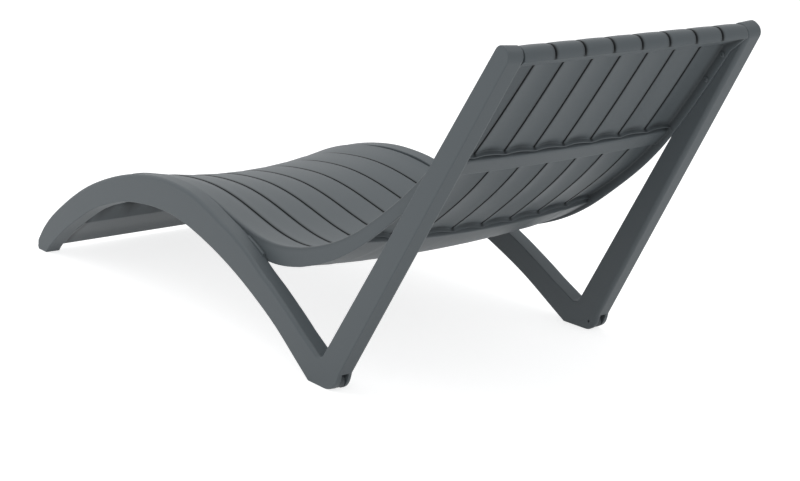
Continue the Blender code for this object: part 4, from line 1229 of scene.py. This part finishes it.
def make_floor(stage):
    """A wide, softly glowing pale floor, white to the camera, that keeps the lounger's shadow."""
    bm = bmesh.new()
    bmesh.ops.create_grid(bm, x_segments=1, y_segments=1, size=FLOOR_HALF_SIZE)
    material = bpy.data.materials.new("studio_floor")
    material.use_nodes = True
    tree = material.node_tree
    patches = add_node(tree, "ShaderNodeTexNoise", {"Scale": FLOOR_PATCH_SCALE}).outputs["Fac"]
    shade = mapped(tree, {"Value": patches, "To Min": FLOOR_PATCH_SHARE, "To Max": 1.0})
    feed(tree, tree.nodes["Principled BSDF"], {
        "Base Color": scaled(tree, stage.floor_colour, shade), "Roughness": 0.9, "Specular IOR Level": 0.1,
        "Emission Color": WHITE, "Emission Strength": floor_glow(tree, stage)})
    mesh_object("studio_floor", bm, material)


def make_lamps(stage):
    """One large soft lamp overhead and a weaker one beside the camera."""
    # Name, power, place and size
    lamps = (
        ("key_light", stage.key_power, (0.6, -0.6, 3.2), 3.0),
        ("fill_light", stage.fill_power, (3.0, 1.6, 1.6), 1.6),
    )
    for name, power, where, size in lamps:
        lamp = bpy.data.lights.new(name, "AREA")
        lamp.energy = power
        lamp.size = size
        item = bpy.data.objects.new(name, lamp)
        item.location = where
        item.rotation_euler = (-Vector(where)).to_track_quat("-Z", "Y").to_euler()
        bpy.context.scene.collection.objects.link(item)


def make_camera(context):
    """The photograph's camera, solved from the lounger's outlines."""
    lens = bpy.data.cameras.new("camera")
    lens.sensor_width = SENSOR_WIDTH_MM
    lens.lens = CAMERA_FOCAL_PIXELS / PHOTO_WIDTH_PIXELS * SENSOR_WIDTH_MM
    camera = bpy.data.objects.new("camera", lens)
    camera.location = CAMERA_PLACE
    camera.rotation_euler = CAMERA_TURN
    context.scene.collection.objects.link(camera)
    context.scene.camera = camera


class LOUNGER_OT_shell(bpy.types.Operator):
    """Make the slatted seat shell"""

    bl_idname = "lounger.shell"
    bl_label = "Seat Shell"

    def execute(self, context):
        sizes = context.scene.lounger_sizes
        shell = fine_shell(sizes, "fine_seat_shell", finish_materials(context)["slate_plastic_fine"])
        dress(shell, "seat_shell")
        return {"FINISHED"}


class LOUNGER_OT_frames(bpy.types.Operator):
    """Make the two side frames"""

    bl_idname = "lounger.frames"
    bl_label = "Side Frames"

    def execute(self, context):
        sizes = context.scene.lounger_sizes
        plastic = finish_materials(context)["slate_plastic_fine"]
        for side, word in SIDES:
            item = fine_frame(sizes, f"fine_side_frame_{word}", side, plastic)
            cut(item, wheel_pocket(sizes, side, plastic), "wheel pocket")
            cut(item, axle_hole(sizes, side, plastic), "axle hole")
            for flat in (FRONT_FLAT_SHARES, REAR_FLAT_SHARES):
                for cutter in pad_recess(sizes, side, flat, plastic):
                    cut(item, cutter, "pad recess")
            dress(settle(item), f"side_frame_{word}")
            rib = frame_rib(sizes, f"frame_rib_{word}", side, plastic)
            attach(rib, "root")
        return {"FINISHED"}


class LOUNGER_OT_wheels(bpy.types.Operator):
    """Make the heel wheels and their axles"""

    bl_idname = "lounger.wheels"
    bl_label = "Wheels and Axles"

    def execute(self, context):
        sizes = context.scene.lounger_sizes
        materials = finish_materials(context)
        for side, word in SIDES:
            wheel = fine_wheel(sizes, f"fine_wheel_{word}", side, materials["wheel_plastic_fine"])
            dress(wheel, f"wheel_{word}", f"wheel_{word}")
            axle = fine_axle(sizes, f"fine_wheel_axle_{word}", side, materials["zinc_steel_fine"])
            dress(axle, f"wheel_axle_{word}")
        return {"FINISHED"}


class LOUNGER_OT_pads(bpy.types.Operator):
    """Make the four foot pads"""

    bl_idname = "lounger.pads"
    bl_label = "Foot Pads"

    def execute(self, context):
        sizes = context.scene.lounger_sizes
        rubber = finish_materials(context)["pad_rubber_fine"]
        for side, word in SIDES:
            for end, flat in (("front", FRONT_FLAT_SHARES), ("rear", REAR_FLAT_SHARES)):
                pad = fine_pad(sizes, f"fine_{end}_foot_pad_{word}", side, flat, rubber)
                dress(pad, f"{end}_foot_pad_{word}")
        return {"FINISHED"}


class LOUNGER_OT_screws(bpy.types.Operator):
    """Make the fixing screws"""

    bl_idname = "lounger.screws"
    bl_label = "Fixing Screws"

    def execute(self, context):
        sizes = context.scene.lounger_sizes
        coated = finish_materials(context)["coated_screw_fine"]
        for side, word in SIDES:
            for number, share in enumerate(SCREW_SHARES, 1):
                screw = fine_screw(sizes, f"fine_fixing_screw_{word}_{number}", side, share, coated)
                dress(screw, f"fixing_screw_{word}_{number}")
        return {"FINISHED"}


class LOUNGER_OT_stage(bpy.types.Operator):
    """Make the floor, the lamps, the world and the camera"""

    bl_idname = "lounger.stage"
    bl_label = "Studio Stage"

    def execute(self, context):
        stage = context.scene.lounger_stage
        make_floor(stage)
        make_world(stage)
        make_lamps(stage)
        make_camera(context)
        context.scene.view_settings.view_transform = "Standard"
        return {"FINISHED"}


class LOUNGER_PT_panel(bpy.types.Panel):
    """Lists the lounger's sizes, finishes and operators"""

    bl_idname = "LOUNGER_PT_panel"
    bl_label = "Sun Lounger"
    bl_space_type = "VIEW_3D"
    bl_region_type = "UI"
    bl_category = "Lounger"

    def draw(self, context):
        scene = context.scene
        for group in (scene.lounger_sizes, scene.lounger_finish, scene.lounger_stage):
            box = self.layout.box()
            for name in group.__annotations__:
                box.prop(group, name)
        for operator in OPERATORS:
            self.layout.operator(operator.bl_idname)


OPERATORS = (LOUNGER_OT_stage, LOUNGER_OT_shell, LOUNGER_OT_frames, LOUNGER_OT_wheels, LOUNGER_OT_pads,
             LOUNGER_OT_screws)
GROUPS = (("lounger_sizes", LoungerSizes), ("lounger_finish", LoungerFinish), ("lounger_stage", LoungerStage))


def register():
    """Register the classes and hang the property groups on the scene."""
    for name, group in GROUPS:
        bpy.utils.register_class(group)
        setattr(bpy.types.Scene, name, bpy.props.PointerProperty(type=group))
    for item in (*OPERATORS, LOUNGER_PT_panel):
        bpy.utils.register_class(item)


def unregister():
    """Undo register."""
    for item in reversed((*OPERATORS, LOUNGER_PT_panel)):
        bpy.utils.unregister_class(item)
    for name, group in reversed(GROUPS):
        delattr(bpy.types.Scene, name)
        bpy.utils.unregister_class(group)


def main():
    """Dress the lounger."""
    register()
    bpy.ops.lounger.stage()
    bpy.ops.lounger.shell()
    bpy.ops.lounger.frames()
    bpy.ops.lounger.wheels()
    bpy.ops.lounger.pads()
    bpy.ops.lounger.screws()


if __name__ == "__main__":
    main()
